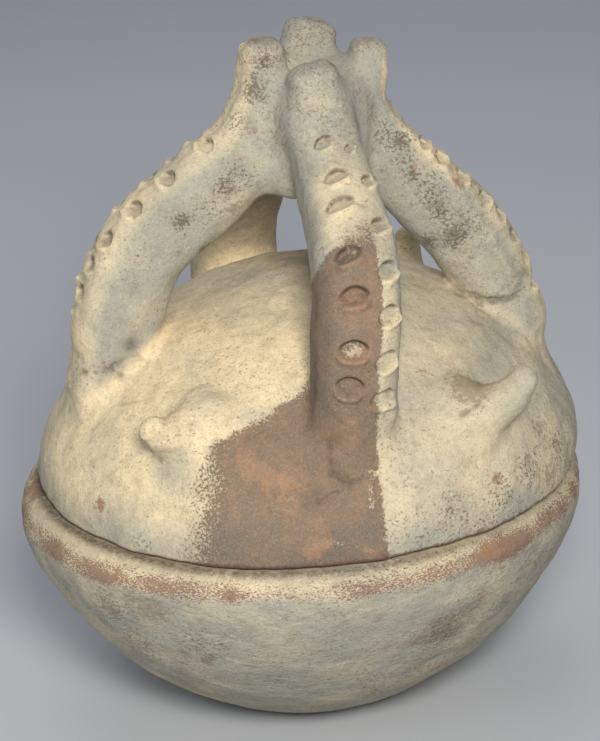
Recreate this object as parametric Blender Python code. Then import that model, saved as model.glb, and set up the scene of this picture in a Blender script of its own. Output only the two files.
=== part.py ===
"""Covered terracotta pot: a round bowl with a bevelled rim, and a domed lid that lifts off.

Four thick arms rise from the lid's shoulder and meet in a hub, each ending in an upright stub,
and four horn-like knobs stand on the dome between them. Metres, +Z up, origin at the middle of
the base, the front is -Y. Azimuths are in degrees from -Y towards +X.
"""
from collections import namedtuple
from math import cos, hypot, pi, radians, sin

import bmesh
import bpy
from mathutils import Vector

Arm = namedtuple("Arm", "azimuth thickness line marked stub")

# Bowl
RIM_RADIUS = 0.140        # the ridge round the outside of the rim, the widest line of the pot
RIDGE_HEIGHT = 0.106      # height of that ridge above the base
BASE_RADIUS = 0.036       # flat underside
BOWL_WALL = 0.010
RIM_BEVEL_IN = 0.0075     # how far the bevelled band above the ridge leans in
RIM_BEVEL_UP = 0.0105     # and how far it rises
RIM_LAND = 0.0145         # flat top of the rim that the lid rests on
RIM_FLARE = 0.12          # how the inside under the rim widens, metres in a metre of depth
BOWL_FULLNESS = 1.53      # 1 is a straight cone, 2 an ellipse

# Lid
LID_CLEARANCE = 0.0003    # gap between the rim's top and the lid's lower edge
LID_INSET = 0.001         # lid's widest line inside the rim's crest
LID_SHIFT = 0.0042        # the lid sits this far off the bowl's middle, towards +X
LID_LEAN = 0.07           # sideways lean of lid and handle, metres in a metre of height
LID_EDGE = 0.0035         # rounding of the lower edge
LID_EDGE_RISE = 0.0055    # height of the widest line over the lower edge
LID_LIP = 0.012           # width of the lower edge where it rests
LIP_FLARE = 0.3           # how the inside above the lip widens, metres in a metre of height
DOME_HEIGHT = 0.1010      # from the lower edge to the outside of the crown
LID_WALL = 0.010
DOME_FULLNESS = 1.80

# Handle of four arms
HANDLE_RISE = 0.1170      # from the crown to the top of the tallest stub
ARM_HALF_WIDTH = 0.020    # across the arm at the elbow
ARM_HALF_DEPTH = 0.020    # through the arm at the elbow
HUB_RADIUS = 0.028
PIT_RADIUS = 0.006
PIT_DEPTH = 0.005

# Horn-like knobs
KNOB_RADIUS = 0.0085
KNOB_LENGTH = 0.026       # the usual, out of the dome

# Thumbnail impressions in two rows down the outside of each arm
MARK_WIDTH = 0.0135
MARK_DEPTH = 0.0030
MARK_SPACE = 0.0030       # from one impression to the next in its row, less their width
MARK_GAP = 0.0055         # bare clay between the two rows

# Fineness of the faceted surfaces
TURNED_SIDES = 44
CURVE_STEPS = 9
ARM_SIDES = 12
ARM_STATIONS = 12
STUB_STATIONS = 4
KNOB_SIDES = 8
MARK_SIDES = 6
SHARP_ANGLE = 40          # degrees between faces past which an edge is shaded sharp

# Sizes that follow
CREST_RADIUS = RIM_RADIUS - RIM_BEVEL_IN
BOWL_HEIGHT = RIDGE_HEIGHT + RIM_BEVEL_UP
SEAM_HEIGHT = BOWL_HEIGHT + LID_CLEARANCE
LID_RADIUS = CREST_RADIUS - LID_INSET
CROWN_HEIGHT = SEAM_HEIGHT + DOME_HEIGHT
LID_HEIGHT = DOME_HEIGHT + HANDLE_RISE
MARK_PITCH = MARK_WIDTH + MARK_SPACE
MARK_ROW = 0.5 * (MARK_WIDTH + MARK_GAP)

# Each arm: azimuth, thickness as a share of the sizes above, and the line through its middle from
# foot to hub. Each point of a line is (reach, rise, drift): the way out from the lid's middle, the
# height over the seam and the way sideways, as shares of the lid's radius, height and radius.
# Then the shares of the arm's length between which its impressions lie, and its stub's line from
# the hub to the tip, each point with its half width and half depth as shares of the elbow's.
ARMS = {
    "front": Arm(
        14, 1.0, ((0.775, 0.135, -0.06), (0.755, 0.244, -0.058), (0.76, 0.405, -0.035),
                  (0.665, 0.565, -0.005), (0.42, 0.672, 0.0), (0.13, 0.775, 0.0)), (0.29, 0.95),
        ((0.19, 0.70, -0.02, 0.74, 0.66), (0.195, 0.82, -0.035, 0.68, 0.60),
         (0.20, 0.92, -0.05, 0.50, 0.46))),
    "left": Arm(
        -76, 1.07, ((0.765, 0.14, 0.0), (0.735, 0.27, 0.0), (0.715, 0.42, 0.0),
                    (0.62, 0.56, 0.0), (0.39, 0.675, 0.0), (0.12, 0.77, 0.0)), (0.38, 0.85),
        ((0.20, 0.70, 0.0, 0.70, 0.72), (0.185, 0.84, 0.0, 0.62, 0.60),
         (0.193, 0.97, 0.0, 0.48, 0.46))),
    "right": Arm(
        97, 0.93, ((0.765, 0.15, 0.0), (0.735, 0.29, 0.0), (0.67, 0.41, 0.0),
                   (0.54, 0.525, 0.0), (0.345, 0.655, 0.0), (0.12, 0.775, 0.0)), (0.24, 0.84),
        ((0.20, 0.68, 0.0, 0.66, 0.68), (0.198, 0.82, 0.0, 0.55, 0.52),
         (0.212, 0.935, 0.0, 0.46, 0.40))),
    "back": Arm(
        202, 1.05, ((0.765, 0.14, -0.01), (0.745, 0.27, -0.005), (0.745, 0.43, 0.0),
                    (0.60, 0.585, 0.015), (0.41, 0.69, 0.03), (0.15, 0.785, 0.03)), (0.28, 0.84),
        ((0.20, 0.70, 0.0, 0.78, 0.70), (0.19, 0.85, -0.04, 0.70, 0.62),
         (0.197, 0.96, -0.07, 0.56, 0.50))),
}
# An arm's half width and half depth from foot to hub, as shares of the elbow's
ARM_WIDTHS = (1.25, 1.06, 1.0, 1.0, 0.90, 0.76)
ARM_DEPTHS = (0.95, 0.93, 1.0, 1.05, 1.03, 0.95)
# A stub's rounded tip: quarter turns in degrees at which its rings lie, and its height as a share
# of the half depth
TIP_TURNS = (35, 68)
TIP_HEIGHT = 0.8
# The shares of the lid's height over the seam between which the hub lies, and its outline from
# underside to top, as shares of its radius and its height
HUB_FROM, HUB_TO = 0.64, 0.90
HUB_OUTLINE = ((0.0, 0.0), (0.5, 0.03), (0.85, 0.17), (1.0, 0.42),
               (1.0, 0.75), (0.85, 0.93), (0.45, 1.0), (0.0, 1.0))
# Each knob: azimuth, its place up the dome as a share of the curve from edge to crown, its rise and
# its swing to the side in degrees, and its length as a share of the usual
KNOBS = ((-31, 0.395, 12, -28, 0.95), (42, 0.355, 31, 30, 1.24), (147, 0.50, 50, 0, 0.75),
         (239, 0.45, 48, 0, 0.85))
# A knob's rings from root to tip: share of its length, girth as a share of its radius, and how far
# its rise has turned there, in degrees
KNOB_RINGS = ((0.0, 2.0, -8), (0.3, 1.5, -7), (0.6, 1.15, -3), (0.86, 0.92, 2), (1.0, 0.5, 6))
KNOB_ROOT = 0.6           # how deep its root lies in the lid's wall, as a share of that wall
# An impression's gouge and the lip of clay pushed up below it: half length, half width and how far
# up the arm each lies from the impression's middle, as shares of the impression's width
GOUGE = (0.30, 0.50, 0.12)
LIP = (0.26, 0.42, -0.22)
LIP_SINK = 0.45           # how deep the lip's middle lies in the clay, as a share of the mark's depth
LENS_CAP = 0.5            # flat middle of a gouge or lip, as a share of its width and length
MARK_REACH = 0.8          # the rows stay within this share of the arm's half width

SLIP_COLOUR = (0.62, 0.52, 0.37, 1.0)
WORN_COLOUR = (0.55, 0.44, 0.31, 1.0)
CLAY_ROUGHNESS = 0.9


def clear_scene():
    for item in list(bpy.data.objects):
        bpy.data.objects.remove(item, do_unlink=True)


def clay(name, colour):
    """Matt earthenware under a pale slip."""
    material = bpy.data.materials.new(name)
    material.use_nodes = True
    shader = material.node_tree.nodes["Principled BSDF"]
    shader.inputs["Base Color"].default_value = colour
    shader.inputs["Roughness"].default_value = CLAY_ROUGHNESS
    shader.inputs["Metallic"].default_value = 0.0
    return material


def new_object(name, bm, material=None):
    """Turn a bmesh into an object with smooth faces."""
    bmesh.ops.recalc_face_normals(bm, faces=bm.faces)
    mesh = bpy.data.meshes.new(name)
    bm.to_mesh(mesh)
    bm.free()
    item = bpy.data.objects.new(name, mesh)
    bpy.context.scene.collection.objects.link(item)
    mesh.shade_smooth()
    mesh.set_sharp_from_angle(angle=radians(SHARP_ANGLE))
    if material:
        mesh.materials.append(material)
    return item


def lean(bm):
    """Shift and lean what belongs to the lid, as it was set on and built by hand."""
    for vert in bm.verts:
        vert.co.x += LID_SHIFT + LID_LEAN * (vert.co.z - SEAM_HEIGHT)


def guide(name, bm):
    """A hidden shape that joins or cuts the lid, leaning as the lid does."""
    lean(bm)
    item = new_object(name, bm)
    item.hide_render = True
    item.display_type = "WIRE"
    return item


def combine(target, name, shapes, operation):
    """Add a live Boolean that joins or cuts every shape of a group."""
    group = bpy.data.collections.new(name)
    for shape in shapes:
        group.objects.link(shape)
    modifier = target.modifiers.new(name, "BOOLEAN")
    modifier.operation = operation
    modifier.operand_type = "COLLECTION"
    modifier.collection = group
    modifier.solver = "EXACT"


def swell(start, end, fullness):
    """A quarter of a superellipse, as (radius, height) from start (flat) to end (upright)."""
    points = []
    for step in range(CURVE_STEPS + 1):
        turn = 0.5 * pi * step / CURVE_STEPS
        out = sin(turn) ** (2.0 / fullness)
        up = 1.0 - cos(turn) ** (2.0 / fullness)
        points.append((start[0] + (end[0] - start[0]) * out, start[1] + (end[1] - start[1]) * up))
    return points


def inset(points, distance):
    """Each point of a profile moved square to the profile, to its left."""
    moved = []
    for index, (radius, height) in enumerate(points):
        before = points[max(index - 1, 0)]
        after = points[min(index + 1, len(points) - 1)]
        along = (after[0] - before[0], after[1] - before[1])
        size = hypot(*along)
        moved.append((radius - along[1] / size * distance, height + along[0] / size * distance))
    return moved


def turned(profile, sides=TURNED_SIDES):
    """Spin a profile of (radius, height) points, which starts and ends on the axis."""
    bm = bmesh.new()
    verts = [bm.verts.new((radius, 0.0, height)) for radius, height in profile]
    edges = [bm.edges.new(pair) for pair in zip(verts, verts[1:])]
    bmesh.ops.spin(bm, geom=verts + edges, axis=(0, 0, 1), cent=(0, 0, 0), angle=2 * pi,
                   steps=sides, use_duplicate=False)
    bmesh.ops.remove_doubles(bm, verts=bm.verts, dist=1e-6)
    return bm


def loft(rings):
    """Join rings of points into one closed body with flat ends."""
    bm = bmesh.new()
    loops = [[bm.verts.new(point) for point in ring] for ring in rings]
    for low, high in zip(loops, loops[1:]):
        for index, vert in enumerate(low):
            after = (index + 1) % len(low)
            bm.faces.new((vert, low[after], high[after], high[index]))
    bm.faces.new(loops[0])
    bm.faces.new(loops[-1])
    return bm


def oval(middle, across, out, width, depth, sides):
    """A ring of points on an ellipse."""
    ring = []
    for side in range(sides):
        turn = 2 * pi * side / sides
        ring.append(middle + across * (cos(turn) * width) + out * (sin(turn) * depth))
    return ring


def through(points, share):
    """A point on the smooth curve through all points, share going from 0 to 1 along it."""
    place = share * (len(points) - 1)
    index = min(int(place), len(points) - 2)
    t = place - index
    near = [points[min(max(index + step, 0), len(points) - 1)] for step in (-1, 0, 1, 2)]
    weights = (-t + 2 * t ** 2 - t ** 3, 2 - 5 * t ** 2 + 3 * t ** 3,
               t + 4 * t ** 2 - 3 * t ** 3, t ** 3 - t ** 2)
    return [0.5 * sum(w * p[axis] for w, p in zip(weights, near)) for axis in range(len(points[0]))]


def around(azimuth):
    """Unit vectors outward and sideways at an azimuth."""
    turn = radians(azimuth)
    return Vector((sin(turn), -cos(turn), 0.0)), Vector((cos(turn), sin(turn), 0.0))


def on_line(azimuth, reach, rise, drift):
    """A point of the handle from its shares."""
    outward, sideways = around(azimuth)
    return (outward * (reach * LID_RADIUS) + sideways * (drift * LID_RADIUS)
            + Vector((0, 0, SEAM_HEIGHT + rise * LID_HEIGHT)))


def bowl_profile():
    """From under the base, up the outside, over the rim and down the inside."""
    outside = swell((BASE_RADIUS, 0.0), (RIM_RADIUS, RIDGE_HEIGHT), BOWL_FULLNESS)
    throat = CREST_RADIUS - RIM_LAND
    inside = []
    for radius, height in reversed(inset(outside, BOWL_WALL)):
        widest = throat + RIM_FLARE * (BOWL_HEIGHT - height)
        inside.append((min(radius, widest), max(height, BOWL_WALL)))
    rim = [(CREST_RADIUS, BOWL_HEIGHT), (throat, BOWL_HEIGHT)]
    return [(0.0, 0.0)] + outside + rim + inside + [(0.0, BOWL_WALL)]


def dome_curve():
    """The dome's outside from its widest line up to the crown."""
    widest = (LID_RADIUS, SEAM_HEIGHT + LID_EDGE_RISE)
    return list(reversed(swell((0.0, CROWN_HEIGHT), widest, DOME_FULLNESS)))


def lid_profile():
    """The solid dome, down to the flat lower edge, whose corner is rounded."""
    bend = LID_EDGE * (1.0 - cos(radians(45)))
    edge = [(LID_RADIUS - LID_EDGE, SEAM_HEIGHT), (LID_RADIUS - bend, SEAM_HEIGHT + bend)]
    return [(0.0, SEAM_HEIGHT)] + edge + dome_curve()


def hollow_profile():
    """The space under the dome, from below the seam up to the underside of the crown."""
    mouth = LID_RADIUS - LID_EDGE - LID_LIP
    below = SEAM_HEIGHT - LID_WALL
    inside = []
    for radius, height in inset(dome_curve(), LID_WALL):
        widest = mouth + LIP_FLARE * (height - SEAM_HEIGHT)
        inside.append((max(min(radius, widest), 0.0), height))
    inside[-1] = (0.0, CROWN_HEIGHT - LID_WALL)
    return [(0.0, below), (mouth, below), (mouth, SEAM_HEIGHT)] + inside


def arm_point(arm, share):
    """A point on an arm's middle line."""
    return on_line(arm.azimuth, *through(arm.line, share))


def arm_frame(arm, share, step=0.01):
    """The middle point, the way along, across and out of an arm, and its half width and depth."""
    middle = arm_point(arm, share)
    along = (arm_point(arm, min(share + step, 1.0)) - arm_point(arm, max(share - step, 0.0))).normalized()
    sideways = around(arm.azimuth)[1]
    out = sideways.cross(along).normalized()
    across = along.cross(out).normalized()
    width = through([(w,) for w in ARM_WIDTHS], share)[0] * ARM_HALF_WIDTH * arm.thickness
    depth = through([(d,) for d in ARM_DEPTHS], share)[0] * ARM_HALF_DEPTH * arm.thickness
    return middle, along, across, out, width, depth


def arm_body(arm):
    """Oval rings along the arm, from inside the dome to inside the hub."""
    rings = []
    for station in range(ARM_STATIONS):
        middle, along, across, out, width, depth = arm_frame(arm, station / (ARM_STATIONS - 1))
        rings.append(oval(middle, across, out, width, depth, ARM_SIDES))
    return loft(rings)


def stub_body(arm):
    """The arm's end that stands up out of the hub, rounded at its tip."""
    outward, sideways = around(arm.azimuth)
    rings = []
    for station in range(STUB_STATIONS):
        reach, rise, drift, width, depth = through(arm.stub, station / (STUB_STATIONS - 1))
        middle = on_line(arm.azimuth, reach, rise, drift)
        width, depth = width * ARM_HALF_WIDTH, depth * ARM_HALF_DEPTH
        rings.append(oval(middle, sideways, outward, width, depth, ARM_SIDES))
    for turn in TIP_TURNS:
        shrink = cos(radians(turn))
        lift = Vector((0, 0, sin(radians(turn)) * depth * TIP_HEIGHT))
        rings.append(oval(middle + lift, sideways, outward, width * shrink, depth * shrink, ARM_SIDES))
    return loft(rings)


def hub_body():
    """The squat lump where the arms meet."""
    low = SEAM_HEIGHT + HUB_FROM * LID_HEIGHT
    high = SEAM_HEIGHT + HUB_TO * LID_HEIGHT
    return turned([(out * HUB_RADIUS, low + up * (high - low)) for out, up in HUB_OUTLINE], ARM_SIDES)


def hub_pit():
    """A small pit in the top of the hub: a cone, point down, with its middle at the surface."""
    bm = bmesh.new()
    bmesh.ops.create_cone(bm, cap_ends=True, segments=KNOB_SIDES, radius1=0.0,
                          radius2=2 * PIT_RADIUS, depth=2 * PIT_DEPTH)
    bmesh.ops.translate(bm, vec=(0, PIT_RADIUS, SEAM_HEIGHT + HUB_TO * LID_HEIGHT), verts=bm.verts)
    return bm


def knob_body(azimuth, share, rise, swing, length):
    """A horn that grows out of the dome and turns up to a blunt tip."""
    outward = around(azimuth)[0]
    radius, height = through(dome_curve(), share)
    root = KNOB_ROOT * LID_WALL
    foot = outward * (radius - root) + Vector((0, 0, height - root))
    outward, sideways = around(azimuth + swing)
    rings = []
    for part, girth, turn in KNOB_RINGS:
        climb = radians(rise + turn)
        way = outward * cos(climb) + Vector((0, 0, sin(climb)))
        out = sideways.cross(way).normalized()
        middle = foot + way * (part * (KNOB_LENGTH * length + root))
        rings.append(oval(middle, sideways, out, KNOB_RADIUS * girth, KNOB_RADIUS * girth, KNOB_SIDES))
    return loft(rings)


def arm_length(arm, steps=40):
    points = [arm_point(arm, step / steps) for step in range(steps + 1)]
    return sum((b - a).length for a, b in zip(points, points[1:]))


def mark_places():
    """Where the impressions lie: surface point, way up the arm, way across, way out of the clay."""
    for arm in ARMS.values():
        first, last = arm.marked
        count = max(round((last - first) * arm_length(arm) / MARK_PITCH), 2)
        for number in range(count):
            share = first + (last - first) * (number + 0.5) / count
            middle, along, across, out, width, depth = arm_frame(arm, share)
            for row in (-1, 1):
                side = row * min(MARK_ROW / width, MARK_REACH)
                rise = (1 - side ** 2) ** 0.5
                surface = middle + across * (side * width) + out * (rise * depth)
                normal = (across * (side / width) + out * (rise / depth)).normalized()
                beside = along.cross(normal).normalized()
                yield surface, along, beside, normal


def lens(bm, centre, along, beside, normal, half_long, half_wide, half_deep):
    """A low rounded lump, alike on both sides: a rim, a narrower ring and a flat cap each way."""
    rim = [bm.verts.new(point) for point in oval(centre, beside, along, half_wide, half_long, MARK_SIDES)]
    for way in (1, -1):
        ring = oval(centre + normal * (half_deep * way), beside, along,
                    half_wide * LENS_CAP, half_long * LENS_CAP, MARK_SIDES)
        cap = [bm.verts.new(point) for point in ring]
        for index, vert in enumerate(rim):
            after = (index + 1) % MARK_SIDES
            bm.faces.new((vert, rim[after], cap[after], cap[index]))
        bm.faces.new(cap)


def mark_hollows():
    """The gouges that the thumbnail pressed in."""
    bm = bmesh.new()
    long, wide, up = (share * MARK_WIDTH for share in GOUGE)
    for surface, along, beside, normal in mark_places():
        lens(bm, surface + along * up, along, beside, normal, long, wide, MARK_DEPTH)
    return bm


def mark_lips():
    """The clay that each impression pushed up below it."""
    bm = bmesh.new()
    long, wide, up = (share * MARK_WIDTH for share in LIP)
    for surface, along, beside, normal in mark_places():
        centre = surface + along * up - normal * (LIP_SINK * MARK_DEPTH)
        lens(bm, centre, along, beside, normal, long, wide, MARK_DEPTH)
    return bm


def make_bowl():
    return new_object("bowl", turned(bowl_profile()), clay("worn slip", WORN_COLOUR))


def make_lid():
    """The dome, joined with arms, stubs, hub and knobs, hollowed, then marked."""
    bm = turned(lid_profile())
    lean(bm)
    lid = new_object("lid", bm, clay("pale slip", SLIP_COLOUR))
    raised = [guide("hub", hub_body())]
    raised += [guide("arm " + name, arm_body(arm)) for name, arm in ARMS.items()]
    raised += [guide("stub " + name, stub_body(arm)) for name, arm in ARMS.items()]
    raised += [guide("knob at %d" % knob[0], knob_body(*knob)) for knob in KNOBS]
    raised.append(guide("lips", mark_lips()))
    combine(lid, "arms hub knobs and lips", raised, "UNION")
    cuts = [guide("hollow", turned(hollow_profile())), guide("pit", hub_pit())]
    cuts.append(guide("gouges", mark_hollows()))
    combine(lid, "hollow and gouges", cuts, "DIFFERENCE")
    return lid


clear_scene()
make_bowl()
make_lid()
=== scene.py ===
"""Covered terracotta pot: the clay surfaces, the slip and the wear of a bowl and its domed lid.

The lid is one body of clay, so it is worked out as a field of distances in which the dome, the
arms, the stubs, the hub and the knobs run into each other as wet clay does, and a surface is laid
where that field is zero. The bowl is a profile carried round the axis. Metres, +Z up, the front is
-Y, and azimuths are in degrees from -Y towards +X.
"""

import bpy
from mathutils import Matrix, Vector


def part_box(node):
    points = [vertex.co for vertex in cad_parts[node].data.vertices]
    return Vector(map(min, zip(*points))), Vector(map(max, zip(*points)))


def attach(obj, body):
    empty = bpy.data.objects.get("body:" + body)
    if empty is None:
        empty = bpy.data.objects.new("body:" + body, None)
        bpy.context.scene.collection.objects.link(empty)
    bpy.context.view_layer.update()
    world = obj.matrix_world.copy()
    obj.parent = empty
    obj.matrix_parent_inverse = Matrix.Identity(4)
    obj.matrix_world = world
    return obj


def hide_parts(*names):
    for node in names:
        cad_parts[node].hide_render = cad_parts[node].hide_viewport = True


bl_info = {
    "name": "Covered Terracotta Pot",
    "version": (1, 0, 0),
    "blender": (4, 5, 0),
    "location": "3D View > Sidebar > Pot",
    "description": "A hand-built bowl and domed lid with four arms, in worn slip over terracotta",
    "category": "Add Mesh",
}

from collections import namedtuple
from itertools import product
from math import cos, pi, radians, sin

import bmesh
import bpy
import numpy as np
from bpy.props import FloatProperty, FloatVectorProperty, PointerProperty
from mathutils import Matrix, Vector

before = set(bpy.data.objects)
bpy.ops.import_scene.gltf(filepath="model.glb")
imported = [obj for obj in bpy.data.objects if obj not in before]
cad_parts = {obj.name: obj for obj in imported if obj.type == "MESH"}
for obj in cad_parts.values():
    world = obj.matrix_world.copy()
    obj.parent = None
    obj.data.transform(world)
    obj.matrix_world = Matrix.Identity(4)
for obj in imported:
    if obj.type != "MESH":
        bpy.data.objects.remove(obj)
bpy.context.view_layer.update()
BOWL_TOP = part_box("bowl")[1]
LID_LOW, LID_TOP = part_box("lid")
SEAM = LID_LOW[2]
UP = np.array((0.0, 0.0, 1.0))

# The lid stands off the axis and leans, both to +X: metres, and metres for each metre of height
LID_SHIFT, LID_LEAN = 0.0042, 0.07
# How square a section or profile is: 1 is straight, 2 an oval, and more is squarer
ARM_FULLNESS, KNOB_FULLNESS, DOME_FULLNESS, BOWL_FULLNESS = 2.8, 2.0, 1.80, 1.53
END_ROUNDING = 0.8        # how far a roll is rounded past its ends, in half depths
EDGE_RISE = 0.0055        # height of the dome's widest line over the lid's lower edge
LIP_WIDTH = 0.0155        # from the lid's widest line in to its mouth
LIP_FLARE = 0.3           # how the lid's inside widens over the lip
RIM_FLARE = 0.12          # how the bowl's inside widens under the rim
HUB_FROM, HUB_TO = 0.64, 0.912      # the hub's underside and top, as shares of the lid's height
HUB_SPREAD = 1.08         # how far the hub reaches out, in hub radii
KNOB_ROOT = 0.6           # how deep in the wall a knob starts, as a share of the wall
KNOB_DIP, KNOB_CURL = 8.0, 14.0     # a knob starts this much under its rise and climbs this much
# How far the clay of two parts runs together where they meet
JOIN_ARM, JOIN_HUB, JOIN_KNOB, JOIN_EDGE, JOIN_PIT = 0.0065, 0.009, 0.009, 0.004, 0.003
FACE_LIMIT = 190000       # triangles that a finished piece may have
GRID_STEP = 0.0026        # of the grid that the lid's field is read on
NOISE_VALUES = 8192       # how many random values a noise picks from, a power of two
NOISE_STRIDES = (73856093, 19349663, 83492791)      # mix a corner's three numbers into one
LEAST_SLOPE = 3.0         # keeps the dome's distance small near its axis
BOWL_STEPS, BOWL_SIDES = 252, 370   # points along the bowl's profile and round it
INNER_FROM = 0.56         # the share of the bowl's profile past which it is inside
BOWL_UNDER = 0.0012       # how far the bowl's surface lies inside its solid, so that lumps stay in it
RIM_IN, RIM_DOWN = 0.0012, 0.0008   # how far a wavering hand drew the rim in and down
# An impression's reach for its relief and for its finer mesh, in half widths, and its lens: how far
# its middle is up, how much its ends droop, and its length over its width
MARK_REACH, FINE_REACH = 1.7, 1.35
MARK_UP, MARK_DROOP, MARK_LENGTH = 0.12, 0.15, 0.62
STROKE_REACH = 2.6        # how far a stroke is felt, in its widths
WAVER, WAVER_SIZE, WAVER_SEED = 0.0012, 0.005, 71
STREAK_STRETCH = 10       # how much longer finger streaks are than wide

# The lid's four arms, each one roll of clay that rises from the dome, bends in and turns up into a
# stub. A path's points are (reach, rise, drift, half width, half depth): the way out from the lid's
# middle, the height over the seam and the way sideways, as shares of the lid's radius, height and
# radius, and the roll's girth as shares of the arm's. Impressions are (share along the roll,
# millimetres aside, size, depth, tilt in degrees), with size and depth as shares of the usual.
Arm = namedtuple("Arm", "azimuth thickness path marks")


def row(first, last, count, aside, seed):
    """A row of like impressions from one share of a roll to another, with a little chance."""
    chance = np.random.default_rng(seed)
    return tuple((share + chance.uniform(-0.008, 0.008), aside + chance.uniform(-1.0, 1.0),
                  chance.uniform(0.85, 1.1), chance.uniform(0.5, 0.8), chance.uniform(-12, 12))
                 for share in np.linspace(first, last, count))


ARMS = {
    "front": Arm(
        14, 1.0,
        ((0.775, 0.135, -0.060, 1.22, 0.90), (0.755, 0.244, -0.060, 1.02, 0.93),
         (0.760, 0.405, -0.044, 0.94, 1.00), (0.665, 0.565, -0.018, 0.92, 1.03),
         (0.420, 0.672, -0.010, 0.87, 0.98), (0.270, 0.750, -0.020, 0.82, 0.84),
         (0.200, 0.835, -0.035, 0.82, 0.70), (0.195, 0.910, -0.050, 0.60, 0.54)),
        ((0.733, -4.0, 0.80, 0.6, 25), (0.586, -4.0, 1.00, 0.9, 18), (0.514, -6.0, 1.15, 1.0, 15),
         (0.436, -8.0, 1.08, 1.4, 12), (0.384, -7.0, 1.12, 1.5, 5), (0.309, -7.0, 1.10, 1.5, 0),
         (0.256, -8.0, 1.08, 1.4, -5), (0.679, 6.5, 0.50, 0.9, 60),
         (0.566, 10.5, 0.80, 0.9, 45), (0.475, 10.5, 0.95, 1.2, 40), (0.415, 10.5, 1.00, 1.3, 35),
         (0.358, 10.5, 1.00, 1.3, 30), (0.290, 10.0, 1.00, 1.3, 25), (0.234, 9.0, 1.05, 1.2, 10))),
    "left": Arm(
        -76, 1.07,
        ((0.765, 0.140, 0.000, 1.15, 0.82), (0.735, 0.270, 0.000, 1.00, 0.92),
         (0.715, 0.420, 0.000, 1.00, 1.00), (0.620, 0.560, 0.000, 1.00, 1.03),
         (0.390, 0.675, 0.000, 0.92, 0.98), (0.250, 0.750, 0.000, 0.80, 0.82),
         (0.190, 0.850, 0.000, 0.64, 0.60), (0.186, 0.950, 0.000, 0.54, 0.48)),
        ((0.633, 6.5, 0.90, 0.9, -10), (0.526, 7.5, 1.00, 1.0, -5), (0.462, 7.7, 1.05, 1.1, 0),
         (0.410, 6.0, 1.00, 1.0, 0), (0.366, 4.0, 0.95, 0.9, 5), (0.315, 2.0, 0.90, 0.7, 5))
        + row(0.28, 0.62, 7, -9.0, 21)),
    "right": Arm(
        97, 0.93,
        ((0.765, 0.150, 0.000, 1.20, 0.90), (0.735, 0.290, 0.000, 1.03, 0.93),
         (0.670, 0.410, 0.000, 1.00, 1.00), (0.540, 0.525, 0.000, 1.00, 1.05),
         (0.345, 0.655, 0.000, 0.88, 0.95), (0.240, 0.750, 0.000, 0.72, 0.74),
         (0.195, 0.845, 0.000, 0.54, 0.48), (0.200, 0.930, 0.000, 0.52, 0.46)),
        row(0.22, 0.60, 8, -6.5, 22) + row(0.22, 0.60, 8, 8.0, 23)),
    "back": Arm(
        202, 1.05,
        ((0.765, 0.140, -0.010, 1.25, 0.95), (0.745, 0.270, -0.005, 1.06, 0.93),
         (0.745, 0.430, 0.000, 1.00, 1.00), (0.600, 0.585, 0.015, 1.00, 1.05),
         (0.410, 0.690, 0.030, 0.92, 1.00), (0.270, 0.770, 0.000, 0.88, 0.86),
         (0.195, 0.855, -0.040, 0.76, 0.68), (0.190, 0.945, -0.070, 0.62, 0.54)),
        row(0.22, 0.62, 8, -8.5, 24) + row(0.22, 0.62, 8, 8.5, 25)),
}
SLIP_LEFT_IN = 5          # the impression of the front arm in which pale slip is left
# Knobs: azimuth, share of the dome's curve from edge to crown, rise and swing to the side in
# degrees, and shares of the usual length and girth
KNOBS = ((-31, 0.395, 12, -28, 0.95, 1.12), (42, 0.355, 31, 30, 1.24, 1.05),
         (147, 0.50, 50, 0, 0.75, 1.0), (239, 0.45, 48, 0, 0.85, 1.0))
KNOB_GIRTHS = (2.0, 1.58, 1.22, 0.98, 0.72)     # from root to tip, in knob radii
# Clay that fills the corners between stubs: from a point to a point, and half its thickness
WEBS = (((-0.022, -0.004, 0.315), (-0.004, 0.023, 0.315), 0.0075),
        ((0.004, 0.024, 0.308), (0.026, 0.004, 0.308), 0.0075))
# Balls of air that press into the clay: x, y, z, radius
PITS = ((-0.012, -0.004, 0.3165, 0.0055),)

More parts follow.
